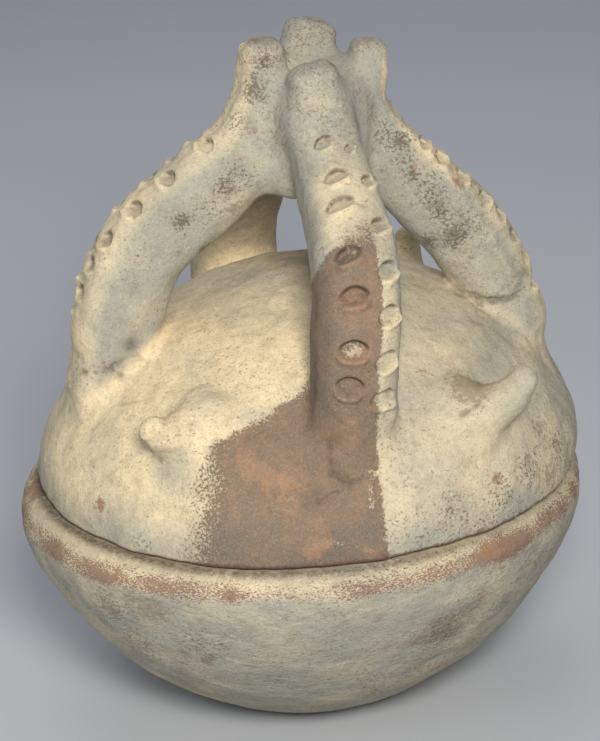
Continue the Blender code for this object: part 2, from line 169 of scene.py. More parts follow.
# Creases, cracks, ridges and swellings: from a point to a point, width and height in millimetres
LID_STROKES = (
    (-12, -122, 150, -6, -121, 151, 0.9, -0.4), (-6, -121, 151, 3, -121, 155, 0.9, -0.6),
    (-3, -126, 142, 2, -125, 145, 0.9, -0.6), (2, -125, 145, 8, -124, 147, 1.1, -1.0),
    (8, -124, 147, 17, -123, 150, 1.3, -1.1), (22, -117, 168, 24, -119, 160, 8.0, 2.4),
    (12, -120, 172, 14, -121, 160, 1.5, -0.9), (14, -121, 160, 23, -121, 154, 1.5, -1.0),
    (23, -118, 156, 35, -116, 156, 1.6, 1.4), (32, -119, 153, 32, -123, 142, 1.2, 0.9),
    (4, -131, 127, 16, -130, 128, 1.3, 0.5), (16, -130, 128, 31, -128, 122, 1.3, 0.5),
    (38, -116, 198, 44, -107, 181, 4.5, 2.0), (25, -115, 195, 23, -116, 188, 5.0, 1.2),
    (-99, -38, 184, -84, -44, 188, 1.6, -1.1), (-84, -44, 188, -73, -41, 191, 1.6, -1.1),
    (-83, -53, 173, -72, -60, 178, 1.2, -0.7), (-104, -38, 174, -108, -12, 174, 10.0, 2.2),
    (-98, -37, 190, -104, -10, 192, 4.0, -1.6), (-104, -10, 192, -100, 20, 192, 4.0, -1.6),
    (85, -2, 200, 99, -11, 196, 1.6, -1.4), (99, -11, 196, 114, -8, 198, 1.6, -1.4),
    (114, -8, 198, 118, 15, 198, 4.0, -1.6), (118, -14, 184, 122, 12, 184, 10.0, 2.4),
    (60, -3, 282, 76, -5, 262, 3.0, 1.3), (76, -5, 262, 98, -6, 226, 3.0, 1.3),
    (98, -6, 226, 109, -5, 204, 3.0, 1.3), (45, -12, 276, 58, -11, 264, 1.0, -0.9),
    (78, -90, 163, 86, -89, 157, 2.4, 0.9), (74, -88, 167, 78, -90, 163, 2.4, 0.9),
    (76, -86, 168, 100, -81, 180, 1.4, -1.2), (-52, -62, 190, -30, -80, 184, 7.0, -0.7),
    (-66, -68, 182, -50, -88, 172, 6.0, 0.7), (50, -80, 186, 72, -62, 188, 6.0, -0.8),
    (40, -112, 165, 66, -100, 160, 8.0, 0.8), (60, -104, 148, 84, -92, 146, 6.0, -0.7))
FINE_LINE = 2             # a stroke narrower than this many millimetres is a line that holds dirt, and painted contact shadow where it runs along an arm's foot
BOWL_STROKES = (
    (-37, -133, 110, -36, -133, 107, 2.4, -1.4), (-27, -135, 110, -14, -137, 108, 4.5, -0.7),
    (10, -123, 66, 17, -122, 65, 3.0, -0.6), (-60, -121, 84, -36, -128, 82, 5.0, -0.6),
    (50, -112, 66, 80, -96, 68, 5.0, -0.6), (-100, -84, 84, -80, -104, 88, 6.0, 0.7),
    (70, -112, 88, 96, -92, 90, 7.0, 0.8), (-90, -88, 62, -62, -108, 66, 4.0, -0.5))
# Bare patch on the front of the dome: its left and right edges as azimuths at heights over the
# seam, in degrees and millimetres
PATCH_HEIGHTS = (0, 10, 22, 34, 46, 53, 59, 66, 72, 80)
PATCH_LEFT = (-26, -26, -25, -26, -26, -25, -18, -11, -3, 2)
PATCH_RIGHT = (15, 14, 13.5, 13.5, 14, 14, 13.5, 12.5, 12, 12)
# Spots on the lid as x, y, z, size in millimetres and strength: orange clay, brown smudges, rust,
# clusters of flecks, thick slip, with painted light on the back arm, thin slip, knobs whose slip is
# like the dome's, and dirt, with painted contact shadow where the left and right arms meet the dome
ORANGE_SPOTS = (
    (-24, -116, 166, 17, 0.75), (-8, -122, 152, 24, 0.65), (8, -124, 140, 14, 0.6),
    (10, -122, 172, 14, 0.5), (8, -129, 127, 12, 0.8), (28, -127, 123, 8, 0.7), (30, -112, 214, 7, 0.9),
    (26, -115, 200, 8, 0.8), (22, -118, 180, 10, 0.9), (28, -106, 236, 8, 1.2))
BROWN_SPOTS = (
    (82, -79, 177, 19, 0.95), (79, -79, 178, 11, 1.1), (111, -76, 182, 6, 0.6), (108, -80, 176, 5, 0.5),
    (60, -73, 187, 6, 0.6), (-71, -97, 173, 9, 0.8), (-60, -92, 169, 5, 0.8), (-59, -93, 163, 4, 0.7),
    (91, -95, 140, 7, 0.75), (118, -65, 128, 11, 0.65), (111, -70, 143, 8, 0.55), (75, -10, 246, 12, 0.62),
    (81, -9, 231, 12, 0.66), (69, -6, 228, 9, 0.6), (62, -10, 262, 10, 0.55), (58, -7, 279, 9, 0.6),
    (88, -8, 220, 9, 0.5), (-25, -29, 268, 12, 0.6), (-24, -26, 257, 9, 0.6), (-47, -36, 255, 7, 0.6),
    (-40, -27, 240, 6, 0.6), (-9, -17, 311, 12, 0.6), (-12, -17, 294, 9, 0.55), (-4, -16, 324, 8, 0.6),
    (35, -17, 305, 9, 0.5), (42, -12, 296, 10, 0.5), (11, -35, 307, 6, 0.5), (106.3, -77.6, 140.7, 7, 0.8),
    (112, -60, 150, 12, 0.6), (118, -52, 138, 10, 0.6), (-94, -82.6, 135.1, 5, 0.9),
    (62.7, 71.5, 196.8, 7, 0.4), (89.5, -7.1, 193.3, 9, 0.6), (-21.2, -101.8, 172.6, 10, 0.5),
    (-64, -90, 170, 7, 0.6))
RUST_SPOTS = (
    (-94, -83, 135, 6, 0.9), (91, -95, 140, 5, 0.7), (129.6, -36.9, 118.3, 8, 0.9),
    (75.6, -4.4, 268, 5, 0.8), (82.1, -4.6, 254.7, 6, 0.8), (82, -79, 177, 6, 0.4),
    (-71, -98, 171, 5, 0.5), (62, -9, 266, 5, 0.7), (-8, -7, 331, 8, 0.7), (26, -24, 322, 8, 0.7),
    (45, -2, 326, 8, 0.5), (18, 27, 332, 8, 0.4))
SPECK_SPOTS = (
    (81, -9, 231, 12, 1.5), (69, -6, 228, 9, 1.4), (75, -10, 243, 9, 1.3), (57, -8, 279, 12, 1.3),
    (62, -10, 262, 7, 1.4), (-25, -29, 268, 10, 1.3), (-47, -36, 255, 8, 1.5), (-40, -27, 240, 6, 1.4),
    (-9, -17, 311, 12, 1.3), (-4, -16, 324, 8, 1.3), (44, -123, 130, 18, 0.7), (68, -112, 134, 20, 0.8),
    (92, -96, 132, 20, 0.9), (107, -79, 134, 20, 0.9), (81, -106, 122, 16, 0.9), (60, -103, 160, 16, 0.4),
    (120, -50, 135, 22, 0.9), (-74.3, -104.7, 122.7, 12, 0.8), (-100, -75, 128, 20, 0.5),
    (-118, -45, 125, 16, 0.6), (52, -13, 285, 12, 1.0), (60, -14, 272, 12, 0.9), (72, -14, 255, 16, 1.0),
    (86, -16, 235, 18, 0.9), (-22, -18, 272, 14, 0.9), (-38, -24, 258, 14, 0.9), (-52, -22, 245, 12, 0.7),
    (-20, -20, 298, 12, 0.9), (-8, -16, 318, 12, 0.9), (-92, -24, 215, 18, 0.5), (30, -45, 297, 12, 0.4))
# The broad spot on the back arm is painted light, not thicker slip
CREAM_AND_LIGHT_SPOTS = (
    (92, -82, 176, 26, 0.35), (104, -78, 186, 14, 0.35), (-26, 74, 205, 60, 0.8), (56, 82, 200, 34, 0.5))
# Two of these lie just under the left knob and make the dome greyer there
GREY_SPOTS = (
    (52, -96, 180, 34, 0.25), (-54, -93, 164, 14, 0.9), (-60, -98, 158, 12, 0.6), (-5, -100, 140, 30, 0.3))
KNOB_SPOTS = (
    (95, -77, 178, 46, 1.2), (-66, -93, 172, 36, 1.2), (56, 82, 200, 34, 1.2))
# Those where the left and right arms meet the dome are painted contact shadow as well as dirt
DIRT_AND_SHADE_SPOTS = (
    (18, -116, 176, 9, 0.55), (11, -107, 195, 7, 0.6), (-75, -43, 198, 5, 0.9), (6, -121, 148, 7, 0.3),
    (15, -120, 165, 6, 0.35), (20, -120, 155, 6, 0.35), (85.3, -1.5, 199.8, 6, 0.7),
    (112.7, -0.7, 206.9, 5, 0.6), (-81.4, -44.7, 184.1, 3, 0.7), (-77, -56.9, 175.9, 3, 0.6))
# The same on the bowl: the places where its ridge is most worn, brown smudges, rust and flecks
RIDGE_SPOTS = (
    (-97, -97, 110, 15, 0.9), (-88, -103, 112, 8, 0.6), (124, -60, 109, 10, 0.8), (132, -41, 108, 10, 0.8),
    (94, -102, 106, 22, 0.9), (104, -92, 107, 12, 1.0), (62, -124, 106, 12, 0.4), (120, -70, 106, 20, 0.8),
    (-36, -133, 107, 9, 0.9), (-66, -122, 108, 26, 0.6), (-98, -98, 110, 20, 0.7),
    (-120, -70, 110, 20, 0.8))
BOWL_BROWN = (
    (-73, -117, 94, 18, 0.65), (-93, -99, 91, 16, 0.6), (-81, -112, 100, 12, 0.55),
    (63, -110, 71, 20, 0.7), (80, -107, 85, 14, 0.6), (60, -115, 77, 14, 0.6), (75, -109, 81, 12, 0.6),
    (51, -116, 70, 12, 0.6), (-41, -126, 82, 4, 0.8), (-49, -113, 65, 6, 0.75), (-46, -116, 69, 4, 0.7),
    (-58, -110, 68, 6, 0.7), (-44, -128, 89, 3, 0.8), (-38, -124, 76, 4, 0.8), (32, -132, 90, 4, 0.8),
    (-36.5, -134, 107.5, 4, 1.0), (-15, -122, 62, 14, 0.4), (-60, -95, 50, 14, 0.5),
    (80, -88, 60, 16, 0.5))
BOWL_RUST = (
    (-36.5, -134, 107.5, 4, 1.0), (85, -107, 110, 10, 0.75), (91, -103, 110, 9, 0.75),
    (-130, -7, 117, 12, 1.6), (-130, 8, 117, 10, 1.4), (-129, -20, 117, 9, 1.4), (-86, -106, 110, 7, 0.6))
BOWL_SPECKS = (
    (62.8, -109.6, 70.8, 34, 0.9), (-50, -118, 76, 26, 0.8), (-80, -95, 70, 30, 0.9),
    (-90, -100, 88, 26, 0.9), (90, -88, 72, 24, 0.8), (20, -128, 80, 24, 0.5), (-20, -110, 50, 26, 0.7),
    (30, -95, 38, 30, 0.8), (110, -70, 85, 24, 0.6), (-110, -70, 85, 26, 0.6))

# The materials' own finish: roughness, gloss, and how strong and how deep their bumps are
ROUGHNESS, GLOSS, BUMP_STRENGTH, BUMP_DEPTH = 0.92, 0.25, 0.7, 0.0010

# Studio lamps: name, place, power, width and colour
LAMPS = (("key lamp", (0.16, -1.46, 0.98), 28.0, 0.40, (1.0, 0.985, 0.95)),
         ("fill lamp", (-1.3, -0.9, 0.7), 4.5, 1.2, (0.88, 0.94, 1.0)),
         ("top lamp", (-0.2, 0.9, 1.5), 7.0, 1.2, (0.95, 0.97, 1.0)))
LAMPS_AIM = (0.0, 0.0, 0.16)
SKY_COLOUR, SKY_STRENGTH = (0.72, 0.78, 0.88, 1.0), 0.27
FLOOR_COLOUR, FLOOR_ROUGHNESS, FLOOR_HALF = (0.50, 0.51, 0.53, 1.0), 0.9, 6.0
# The camera: where it aims, how far it is, its pitch and roll in degrees, its focal length in
# pixels of a picture 600 wide and 741 high, and its sensor's width in millimetres
PICTURE_HEIGHT = 741
CAMERA_AIM = (0.0034, 0.0, 0.1632)
CAMERA_AWAY = 1.5
CAMERA_PITCH = 21.1
CAMERA_ROLL = -3.7
CAMERA_FOCUS = 3079
SENSOR_WIDTH = 36.0


def length_of(name, description, default):
    """A length that a user can change, in metres."""
    return FloatProperty(name=name, description=description, default=default, unit="LENGTH",
                         subtype="DISTANCE")


def colour_of(name, description, default):
    """A colour that a user can change, as linear red, green and blue."""
    return FloatVectorProperty(name=name, description=description, default=default, size=3,
                               subtype="COLOR", min=0.0, max=1.0)


class PotSizes(bpy.types.PropertyGroup):
    """Sizes of the bowl, the lid and its handle."""
    rim_radius: length_of("Rim radius", "From the axis to the ridge round the bowl's rim", BOWL_TOP[0])
    ridge_height: length_of("Ridge height", "Height of that ridge over the base", 0.106)
    base_radius: length_of("Base radius", "Radius of the flat underside", 0.036)
    bevel: length_of("Rim bevel", "How far the band over the ridge leans in", 0.0075)
    land: length_of("Rim land", "Width of the rim's flat top", 0.0145)
    wall: length_of("Wall", "Thickness of bowl and lid", 0.010)
    lid_radius: length_of("Lid radius", "From the lid's axis to its widest line", 0.1315)
    dome_height: length_of("Dome height", "From the lid's lower edge to its crown", 0.1010)
    handle_height: length_of("Lid height", "From the lid's lower edge to its tallest stub", 0.2180)
    arm: length_of("Arm", "Half the thickness of an arm at its elbow", 0.020)
    hub_radius: length_of("Hub radius", "Radius of the lump in which the arms meet", 0.028)
    knob_radius: length_of("Knob radius", "Half the thickness of a knob", 0.0085)
    knob_length: length_of("Knob length", "How far the usual knob stands out", 0.026)
    mark_width: length_of("Impression width", "Width of a thumbnail impression", 0.0140)
    mark_depth: length_of("Impression depth", "Depth of a thumbnail impression", 0.0030)


class PotColours(bpy.types.PropertyGroup):
    """Colours of the slip, of the clay under it, and of the dirt and painted shade on it."""
    slip: colour_of("Slip", "Cream slip where it is thick", (0.79, 0.64, 0.40))
    thin_slip: colour_of("Thin slip", "Slip where it is thin and greyer", (0.365, 0.355, 0.29))
    clay: colour_of("Clay", "Bare fired clay", (0.190, 0.117, 0.075))
    orange_clay: colour_of("Orange clay", "Bare clay where it fired to orange", (0.315, 0.165, 0.088))
    red_clay: colour_of("Red clay", "Clay that shows along worn edges", (0.170, 0.074, 0.054))
    fleck: colour_of("Flecks", "Brown flecks where grains have dropped out", (0.105, 0.08, 0.06))
    stain: colour_of("Stains", "Brown smudges and the slip's mottling", (0.21, 0.145, 0.095))
    dust: colour_of("Dust", "Grey dust on the bare clay", (0.128, 0.102, 0.080))
    # Dirt, and also painted shade in the impressions' arcs and hollows, along the arms' feet and in the joint
    # between lid and bowl
    dirt: colour_of("Dirt and shade", "Dirt in hollows and cracks", (0.085, 0.06, 0.045))


def ramp(value, start, end):
    """A smooth step from 0 at start to 1 at end: 3 t squared less 2 t cubed."""
    t = np.clip((value - start) / (end - start), 0.0, 1.0)
    return t * t * (3.0 - 2.0 * t)


def fall(value, start, end):
    """The same smooth step, from 1 at start down to 0 at end."""
    return 1.0 - ramp(value, start, end)


def smooth_min(a, b, reach):
    """The lesser of two distances, less a quarter of reach times h squared, where h falls from 1
    to 0 as their difference grows from nothing to reach."""
    h = np.clip(1.0 - np.abs(a - b) / reach, 0.0, 1.0)
    return np.minimum(a, b) - 0.25 * reach * h * h


def smooth_max(a, b, reach):
    """The greater of two distances, rounded in the same way."""
    return -smooth_min(-a, -b, reach)


def dot(a, b):
    """The product of each vector with the one beside it."""
    return np.einsum("ij,ij->i", a, b)


def unit(vectors):
    """Vectors over their own lengths."""
    return vectors / np.linalg.norm(vectors, axis=-1, keepdims=True)


def in_box(points, low, high):
    """Which points lie between two corners."""
    return np.all((points > low) & (points < high), axis=1)


def around(azimuth):
    """Unit vectors outward and sideways at an azimuth."""
    turn = radians(azimuth)
    return np.array((sin(turn), -cos(turn), 0.0)), np.array((cos(turn), sin(turn), 0.0))


def azimuth_of(points):
    """The angle of each point round the axis, in degrees from -Y towards +X."""
    return np.degrees(np.arctan2(points[:, 0], -points[:, 1]))


def leaning(points, way=1):
    """Points of the upright lid, moved to where they are on the leaning one, or back where way
    is -1."""
    moved = points.copy()
    moved[:, 0] += way * (LID_SHIFT + LID_LEAN * (points[:, 2] - SEAM))
    return moved


def upright(points):
    """Points of the leaning lid in its own coordinates, with its shift and lean taken out."""
    return leaning(points, -1)


def noise(points, size, seed):
    """Smooth noise from -1 to 1: random values at the corners of cubes of the given size, blended
    by smooth steps along each axis."""
    cell = points / size
    corner = np.floor(cell).astype(np.int64)
    t = ramp(cell - corner, 0.0, 1.0)
    values = np.random.default_rng(seed).uniform(-1.0, 1.0, NOISE_VALUES)
    stride_x, stride_y, stride_z = NOISE_STRIDES
    total = np.zeros(len(points))
    for i, j, k in product((0, 1), repeat=3):
        key = ((corner[:, 0] + i) * stride_x) ^ ((corner[:, 1] + j) * stride_y)
        key ^= (corner[:, 2] + k) * stride_z
        weight = np.abs(1 - i - t[:, 0]) * np.abs(1 - j - t[:, 1]) * np.abs(1 - k - t[:, 2])
        total += weight * values[key & (NOISE_VALUES - 1)]
    return total


def noises(points, *layers):
    """The sum of several noises, each (strength, size, seed)."""
    return sum(strength * noise(points, size, seed) for strength, size, seed in layers)


def blob(points, centre, size):
    """1 at a point, falling as a bell curve, to about a seventh at size metres away."""
    away = points - np.asarray(centre)
    return np.exp(-2.0 * dot(away, away) / size ** 2)


def blobs(points, places):
    """The strongest of several blobs (x, y, z, size, strength), places and sizes in millimetres."""
    total = np.zeros(len(points))
    for x, y, z, size, strength in places:
        total = np.maximum(total, strength * blob(points, (x / 1e3, y / 1e3, z / 1e3), size / 1e3))
    return total


def through(points, shares):
    """Places on the smooth curve through a few points: each stretch blends its four nearest points
    by cubics in the share of the stretch."""
    points = np.asarray(points, float)
    place = np.clip(shares, 0.0, 1.0) * (len(points) - 1)
    index = np.minimum(place.astype(int), len(points) - 2)
    t = (place - index)[:, None]
    near = [points[np.clip(index + step, 0, len(points) - 1)] for step in (-1, 0, 1, 2)]
    weights = (-t + 2 * t ** 2 - t ** 3, 2 - 5 * t ** 2 + 3 * t ** 3,
               t + 4 * t ** 2 - 3 * t ** 3, t ** 3 - t ** 2)
    return 0.5 * sum(weight * point for weight, point in zip(weights, near))


# A roll of clay: the line through its middle, the ways along, across and out at each point of it,
# its half widths and half depths there, how far it is rounded past its ends, and its box
Roll = namedtuple("Roll", "line along across out widths depths tip low high")
BOX_MARGIN = 0.024


def roll(line, widths, depths, sideways, tip):
    """The ways along are the line's slopes, out is sideways turned square to them, and across is
    square to both."""
    along = unit(np.gradient(line, axis=0))
    out = unit(np.cross(sideways, along))
    across = unit(np.cross(along, out))
    margin = BOX_MARGIN + max(widths.max(), depths.max())
    return Roll(line, along, across, out, widths, depths, tip,
                line.min(axis=0) - margin, line.max(axis=0) + margin)


def arm_roll(arm, sizes, steps=40):
    """One arm's roll, from its foot in the dome to the top of its stub."""
    outward, sideways = around(arm.azimuth)
    shares = through(arm.path, np.linspace(0.0, 1.0, steps))
    reach, rise, drift = shares[:, 0:1], shares[:, 1:2], shares[:, 2:3]
    line = (outward * reach * sizes.lid_radius + sideways * drift * sizes.lid_radius
            + UP * (SEAM + rise * sizes.handle_height))
    girth = shares[:, 3:5] * sizes.arm * arm.thickness
    return roll(line, girth[:, 0], girth[:, 1], sideways, END_ROUNDING)


def dome_curve(share, sizes):
    """Radius and height on the dome at a share of the way from its widest line to the crown:
    powers of the sine and the cosine of the turn, times the radius and the rise."""
    turn = 0.5 * pi * (1.0 - share)
    power = 2.0 / DOME_FULLNESS
    rise = sizes.dome_height - EDGE_RISE
    return sizes.lid_radius * sin(turn) ** power, SEAM + EDGE_RISE + rise * cos(turn) ** power


def knob_roll(azimuth, share, rise, swing, length, thickness, sizes, steps=10):
    """A horn from inside the dome's wall. Its slope grows from a little under the rise with the
    square of the way, so that it bends up towards its tip."""
    radius, height = dome_curve(share, sizes)
    root = KNOB_ROOT * sizes.wall
    foot = around(azimuth)[0] * (radius - root) + UP * (height - root)
    part = np.linspace(0.0, 1.0, steps)[:, None]
    outward, sideways = around(azimuth + swing)
    climb = np.radians(rise - KNOB_DIP + KNOB_CURL * part ** 2)
    way = outward * np.cos(climb) + UP * np.sin(climb)
    line = foot + way * part * (sizes.knob_length * length + (1.0 - KNOB_ROOT) * sizes.wall)
    girth = np.interp(part[:, 0], np.linspace(0, 1, len(KNOB_GIRTHS)), KNOB_GIRTHS)
    girth *= sizes.knob_radius * thickness
    return roll(line, girth, girth, sideways, END_ROUNDING)


def follow(points, line):
    """The nearest place on a line to each point, as a share of it, and the offset from there.
    Each short stretch is tried in turn on all points: the share of the stretch is the part of the
    offset that runs along it, over its length, kept from 0 to 1."""
    nearest = np.full(len(points), np.inf)
    share = np.zeros(len(points))
    offset = np.zeros_like(points)
    steps = len(line) - 1
    for index in range(steps):
        run = line[index + 1] - line[index]
        away = points - line[index]
        part = np.clip(away @ run / (run @ run), 0.0, 1.0)
        away -= part[:, None] * run
        distance = dot(away, away)
        better = distance < nearest
        nearest[better] = distance[better]
        share[better] = (index + part[better]) / steps
        offset[better] = away[better]
    return share, offset


def between(values, share):
    """Values along a roll, read at shares of it."""
    place = share * (len(values) - 1)
    grid = np.arange(len(values))
    if values.ndim == 1:
        return np.interp(place, grid, values)
    return np.column_stack([np.interp(place, grid, column) for column in values.T])


def roll_place(points, clay):
    """Share along a roll, the offsets across it, out of it and past its end in half widths and
    depths, and those half widths and depths."""
    share, offset = follow(points, clay.line)
    width, depth = between(clay.widths, share), between(clay.depths, share)
    across = dot(offset, between(clay.across, share)) / width
    out = dot(offset, between(clay.out, share)) / depth
    end = dot(offset, between(clay.along, share)) / (depth * clay.tip)
    return share, across, out, end, width, depth


def roll_gap(points, clay, n):
    """Distance to a roll. With k = (across^n + out^n + end^n)^(1/n) in half widths and half
    depths, it is (k - 1) over the slope of k. A fullness n of 2 is an oval, and more is squarer."""
    _, across, out, end, width, depth = roll_place(points, clay)
    across, out, end = np.abs(across), np.abs(out), np.abs(end)
    k = (across ** n + out ** n + end ** n) ** (1.0 / n) + 1e-6
    slope = np.sqrt((across / k) ** (2 * n - 2) / width ** 2 + (out / k) ** (2 * n - 2) / depth ** 2
                    + (end / k) ** (2 * n - 2) / (depth * clay.tip) ** 2)
    return (k - 1.0) / (slope + 1e-3)


def dome_gap(points, sizes):
    """Distance to the dome's outside. Over the widest line, with out and up in shares of the
    radius and the height, s = (out^n + up^n)^(1/n) is 1 on the dome, and (s - 1) over the slope
    of s is the distance. Under that line the wall is upright."""
    n = DOME_FULLNESS
    rise = sizes.dome_height - EDGE_RISE
    out = np.hypot(points[:, 0], points[:, 1]) / sizes.lid_radius + 1e-6
    up = np.maximum(points[:, 2] - SEAM - EDGE_RISE, 0.0) / rise
    s = (out ** n + up ** n) ** (1.0 / n)
    slope = s ** (1.0 - n) * np.hypot(out ** (n - 1) / sizes.lid_radius, up ** (n - 1) / rise)
    return (s - 1.0) / np.maximum(slope, LEAST_SLOPE)


def hub_gap(points, sizes):
    """Distance to the lump in which the arms meet: a squared ball, (out^4 + up^4)^(1/4) = 1."""
    low, high = SEAM + HUB_FROM * sizes.handle_height, SEAM + HUB_TO * sizes.handle_height
    half = 0.5 * (high - low)
    offset = points - UP * (low + half)
    k = ((np.hypot(offset[:, 0], offset[:, 1]) / (HUB_SPREAD * sizes.hub_radius)) ** 4
         + np.abs(offset[:, 2] / half) ** 4) ** 0.25 + 1e-6
    return (k - 1.0) * sizes.hub_radius


def lid_rolls(sizes):
    """Every roll of clay on the lid, with how far it runs together with the rest and how square
    its section is. The arms come first."""
    rolls = [(arm_roll(arm, sizes), JOIN_ARM, ARM_FULLNESS) for arm in ARMS.values()]
    rolls += [(knob_roll(*knob, sizes), JOIN_KNOB, KNOB_FULLNESS) for knob in KNOBS]
    for start, end, half in WEBS:
        line = np.linspace(start, end, 6)
        girth = np.full(len(line), half)
        rolls.append((roll(line, girth, girth, UP, 1.0), JOIN_HUB, KNOB_FULLNESS))
    return rolls


def lid_gap(points, sizes, rolls):
    """Distance to the lid's clay in its own upright coordinates: the dome and the hub joined with
    every roll, cut off at the seam, and less the hollow, which lies a wall inside the dome and
    narrows to the mouth over the lip."""
    dome = dome_gap(points, sizes)
    gap = smooth_min(dome, hub_gap(points, sizes), JOIN_HUB)
    for clay, join, fullness in rolls:
        near = in_box(points, clay.low, clay.high)
        gap[near] = smooth_min(gap[near], roll_gap(points[near], clay, fullness), join)
    for x, y, z, size in PITS:
        gap = smooth_max(gap, size - np.linalg.norm(points - (x, y, z), axis=1), JOIN_PIT)
    gap = smooth_max(gap, SEAM - points[:, 2], JOIN_EDGE)
    mouth = sizes.lid_radius - LIP_WIDTH + LIP_FLARE * (points[:, 2] - SEAM)
    hollow = np.maximum(dome + sizes.wall, np.hypot(points[:, 0], points[:, 1]) - mouth)
    return smooth_max(gap, -hollow, JOIN_EDGE)


def surface_net(field, low, step):
    """A mesh of quads where a field on a grid is zero. Each cell with corners on both sides gets
    one point, the mean of the places where its edges cross zero, and each grid edge that crosses
    gets the quad through the four cells round it."""
    inside = field < 0.0
    room = np.array(field.shape) - 1
    count = np.zeros(room, np.int8)
    for i, j, k in product((0, 1), repeat=3):
        count += inside[i:room[0] + i, j:room[1] + j, k:room[2] + k]
    crossed = (count > 0) & (count < 8)
    number = np.full(room, -1, np.int64)
    number[crossed] = np.arange(crossed.sum())
    cells = np.argwhere(crossed)
    total, hits = np.zeros((len(cells), 3)), np.zeros(len(cells))
    quads = []
    for axis in range(3):
        step_on, side_a, side_b = np.roll(np.eye(3, dtype=int), -axis, axis=0)
        for a, b in product((0, 1), repeat=2):
            start = cells + a * side_a + b * side_b
            first, second = field[tuple(start.T)], field[tuple((start + step_on).T)]
            cross = (first < 0.0) != (second < 0.0)
            part = np.where(cross, first, 0.0) / np.where(cross, first - second, 1.0)
            total += cross[:, None] * (start + part[:, None] * step_on)
            hits += cross
        change = np.diff(inside.astype(np.int8), axis=axis)
        edges = np.argwhere(change != 0)
        sides = [(axis + 1) % 3, (axis + 2) % 3]
        edges = edges[in_box(edges[:, sides], 0, room[sides])]
        ring = np.stack([number[tuple((edges - shift).T)]
                         for shift in (0 * side_a, side_a, side_a + side_b, side_b)], axis=1)
        leaving = change[tuple(edges.T)] < 0
        quads.append(np.where(leaving[:, None], ring, ring[:, ::-1]))
    return low + step * total / hits[:, None], np.concatenate(quads)


def relaxed(points, quads, rounds):
    """Each point moved to the mean of itself and its neighbours' mean, a few times."""
    a = np.concatenate([quads[:, side] for side in range(4)])
    b = np.concatenate([quads[:, (side + 1) % 4] for side in range(4)])
    ends, others = np.concatenate((a, b)), np.concatenate((b, a))
    count = np.bincount(ends, minlength=len(points))[:, None]
    for _ in range(rounds):
        mean = np.column_stack([np.bincount(ends, weights=points[others, axis], minlength=len(points))
                                for axis in range(3)]) / count
        points = 0.5 * (points + mean)
    return points


def onto_surface(points, gap, rounds, nudge=5e-5, longest=0.002):
    """Each point moved against the field's slope by its distance over that slope, a few times.
    Returns the points and the slopes' directions, which are the surface's normals."""
    for _ in range(rounds):
        distance = gap(points)
        slope = np.column_stack([gap(points + nudge * way) - distance for way in np.eye(3)]) / nudge
        size = np.maximum(dot(slope, slope), 0.05)
        points = points - slope * np.clip(distance / size, -longest, longest)[:, None]
    return points, unit(slope + 1e-9)


def mesh_from(points, faces):
    """A mesh from arrays of points and of faces with equally many corners."""
    mesh = bpy.data.meshes.new("clay")
    corners = faces.shape[1]
    mesh.vertices.add(len(points))
    mesh.vertices.foreach_set("co", points.astype(np.float32).ravel())
    mesh.loops.add(faces.size)
    mesh.loops.foreach_set("vertex_index", faces.astype(np.int32).ravel())
    mesh.polygons.add(len(faces))
    mesh.polygons.foreach_set("loop_start", np.arange(len(faces), dtype=np.int32) * corners)
    mesh.update(calc_edges=True)
    return mesh


def points_of(mesh):
    """A mesh's points as an array."""
    points = np.empty(len(mesh.vertices) * 3, np.float32)
    mesh.vertices.foreach_get("co", points)
    return points.reshape(-1, 3).astype(float)


def set_points(mesh, points):
    """Move a mesh's points to the places in an array."""
    mesh.vertices.foreach_set("co", points.astype(np.float32).ravel())
    mesh.update()


def refined(mesh, chosen):
    """Each edge whose two points are chosen is cut in two, and the faces round it with it."""
    bm = bmesh.new()
    bm.from_mesh(mesh)
    edges = [edge for edge in bm.edges if chosen[edge.verts[0].index] and chosen[edge.verts[1].index]]
    bmesh.ops.subdivide_edges(bm, edges=edges, cuts=1, use_grid_fill=True)
    bm.to_mesh(mesh)
    bm.free()
    return points_of(mesh)


# An impression: its middle, the ways beside it and along the arm, its half width and its depth
Mark = namedtuple("Mark", "middle beside along half depth")


def mark_places(sizes):
    """The impressions on the arms, in the lid's upright coordinates. An arm's section is
    |across|^n + |out|^n = 1, so one that is side half widths aside is (1 - |side|^n)^(1/n) half
    depths out, and faces the way in which that sum grows fastest."""
    n = ARM_FULLNESS
    places = []
    for arm in ARMS.values():
        clay = arm_roll(arm, sizes)
        for share, aside, size, depth, tilt in arm.marks:
            at = np.array([share])
            line, across, out, along, width, thick = (
                between(values, at)[0]
                for values in (clay.line, clay.across, clay.out, clay.along, clay.widths, clay.depths))
            side = aside / 1e3 / width
            rise = (1.0 - abs(side) ** n) ** (1 / n)
            middle = line + across * side * width + out * rise * thick
            normal = unit(across * np.sign(side) * abs(side) ** (n - 1.0) / width
                          + out * rise ** (n - 1.0) / thick)
            along = unit(along - normal * (along @ normal))
            beside = np.cross(along, normal)
            turn = radians(tilt)
            places.append(Mark(middle, beside * cos(turn) + along * sin(turn),
                               along * cos(turn) - beside * sin(turn),
                               0.5 * sizes.mark_width * size, sizes.mark_depth * depth))
    return places


def near_mark(points, mark, reach):
    """Which points are nearer to an impression's middle than reach half widths, and their offsets."""
    offset = points - mark.middle
    return dot(offset, offset) < (reach * mark.half) ** 2, offset


def mark_place(points, mark):
    """The points near an impression, their places beside and along it in half widths, and q, which
    is 1 on the edge of its hollow."""
    near, offset = near_mark(points, mark, MARK_REACH)
    side = offset[near] @ mark.beside / mark.half
    up = offset[near] @ mark.along / mark.half
    return near, side, up, np.hypot(side, (up - MARK_UP + MARK_DROOP * side ** 2) / MARK_LENGTH)


def lip_share(side, up, drop, spread, end):
    """The lip under an impression, from 0 to 1: exp of minus the square of the distance, in
    spreads, from a curve that starts drop under the middle and rises with side squared. It fades
    out from half way to its end."""
    return np.exp(-((up + drop - 0.25 * side ** 2) / spread) ** 2) * fall(np.abs(side), 0.5, end)


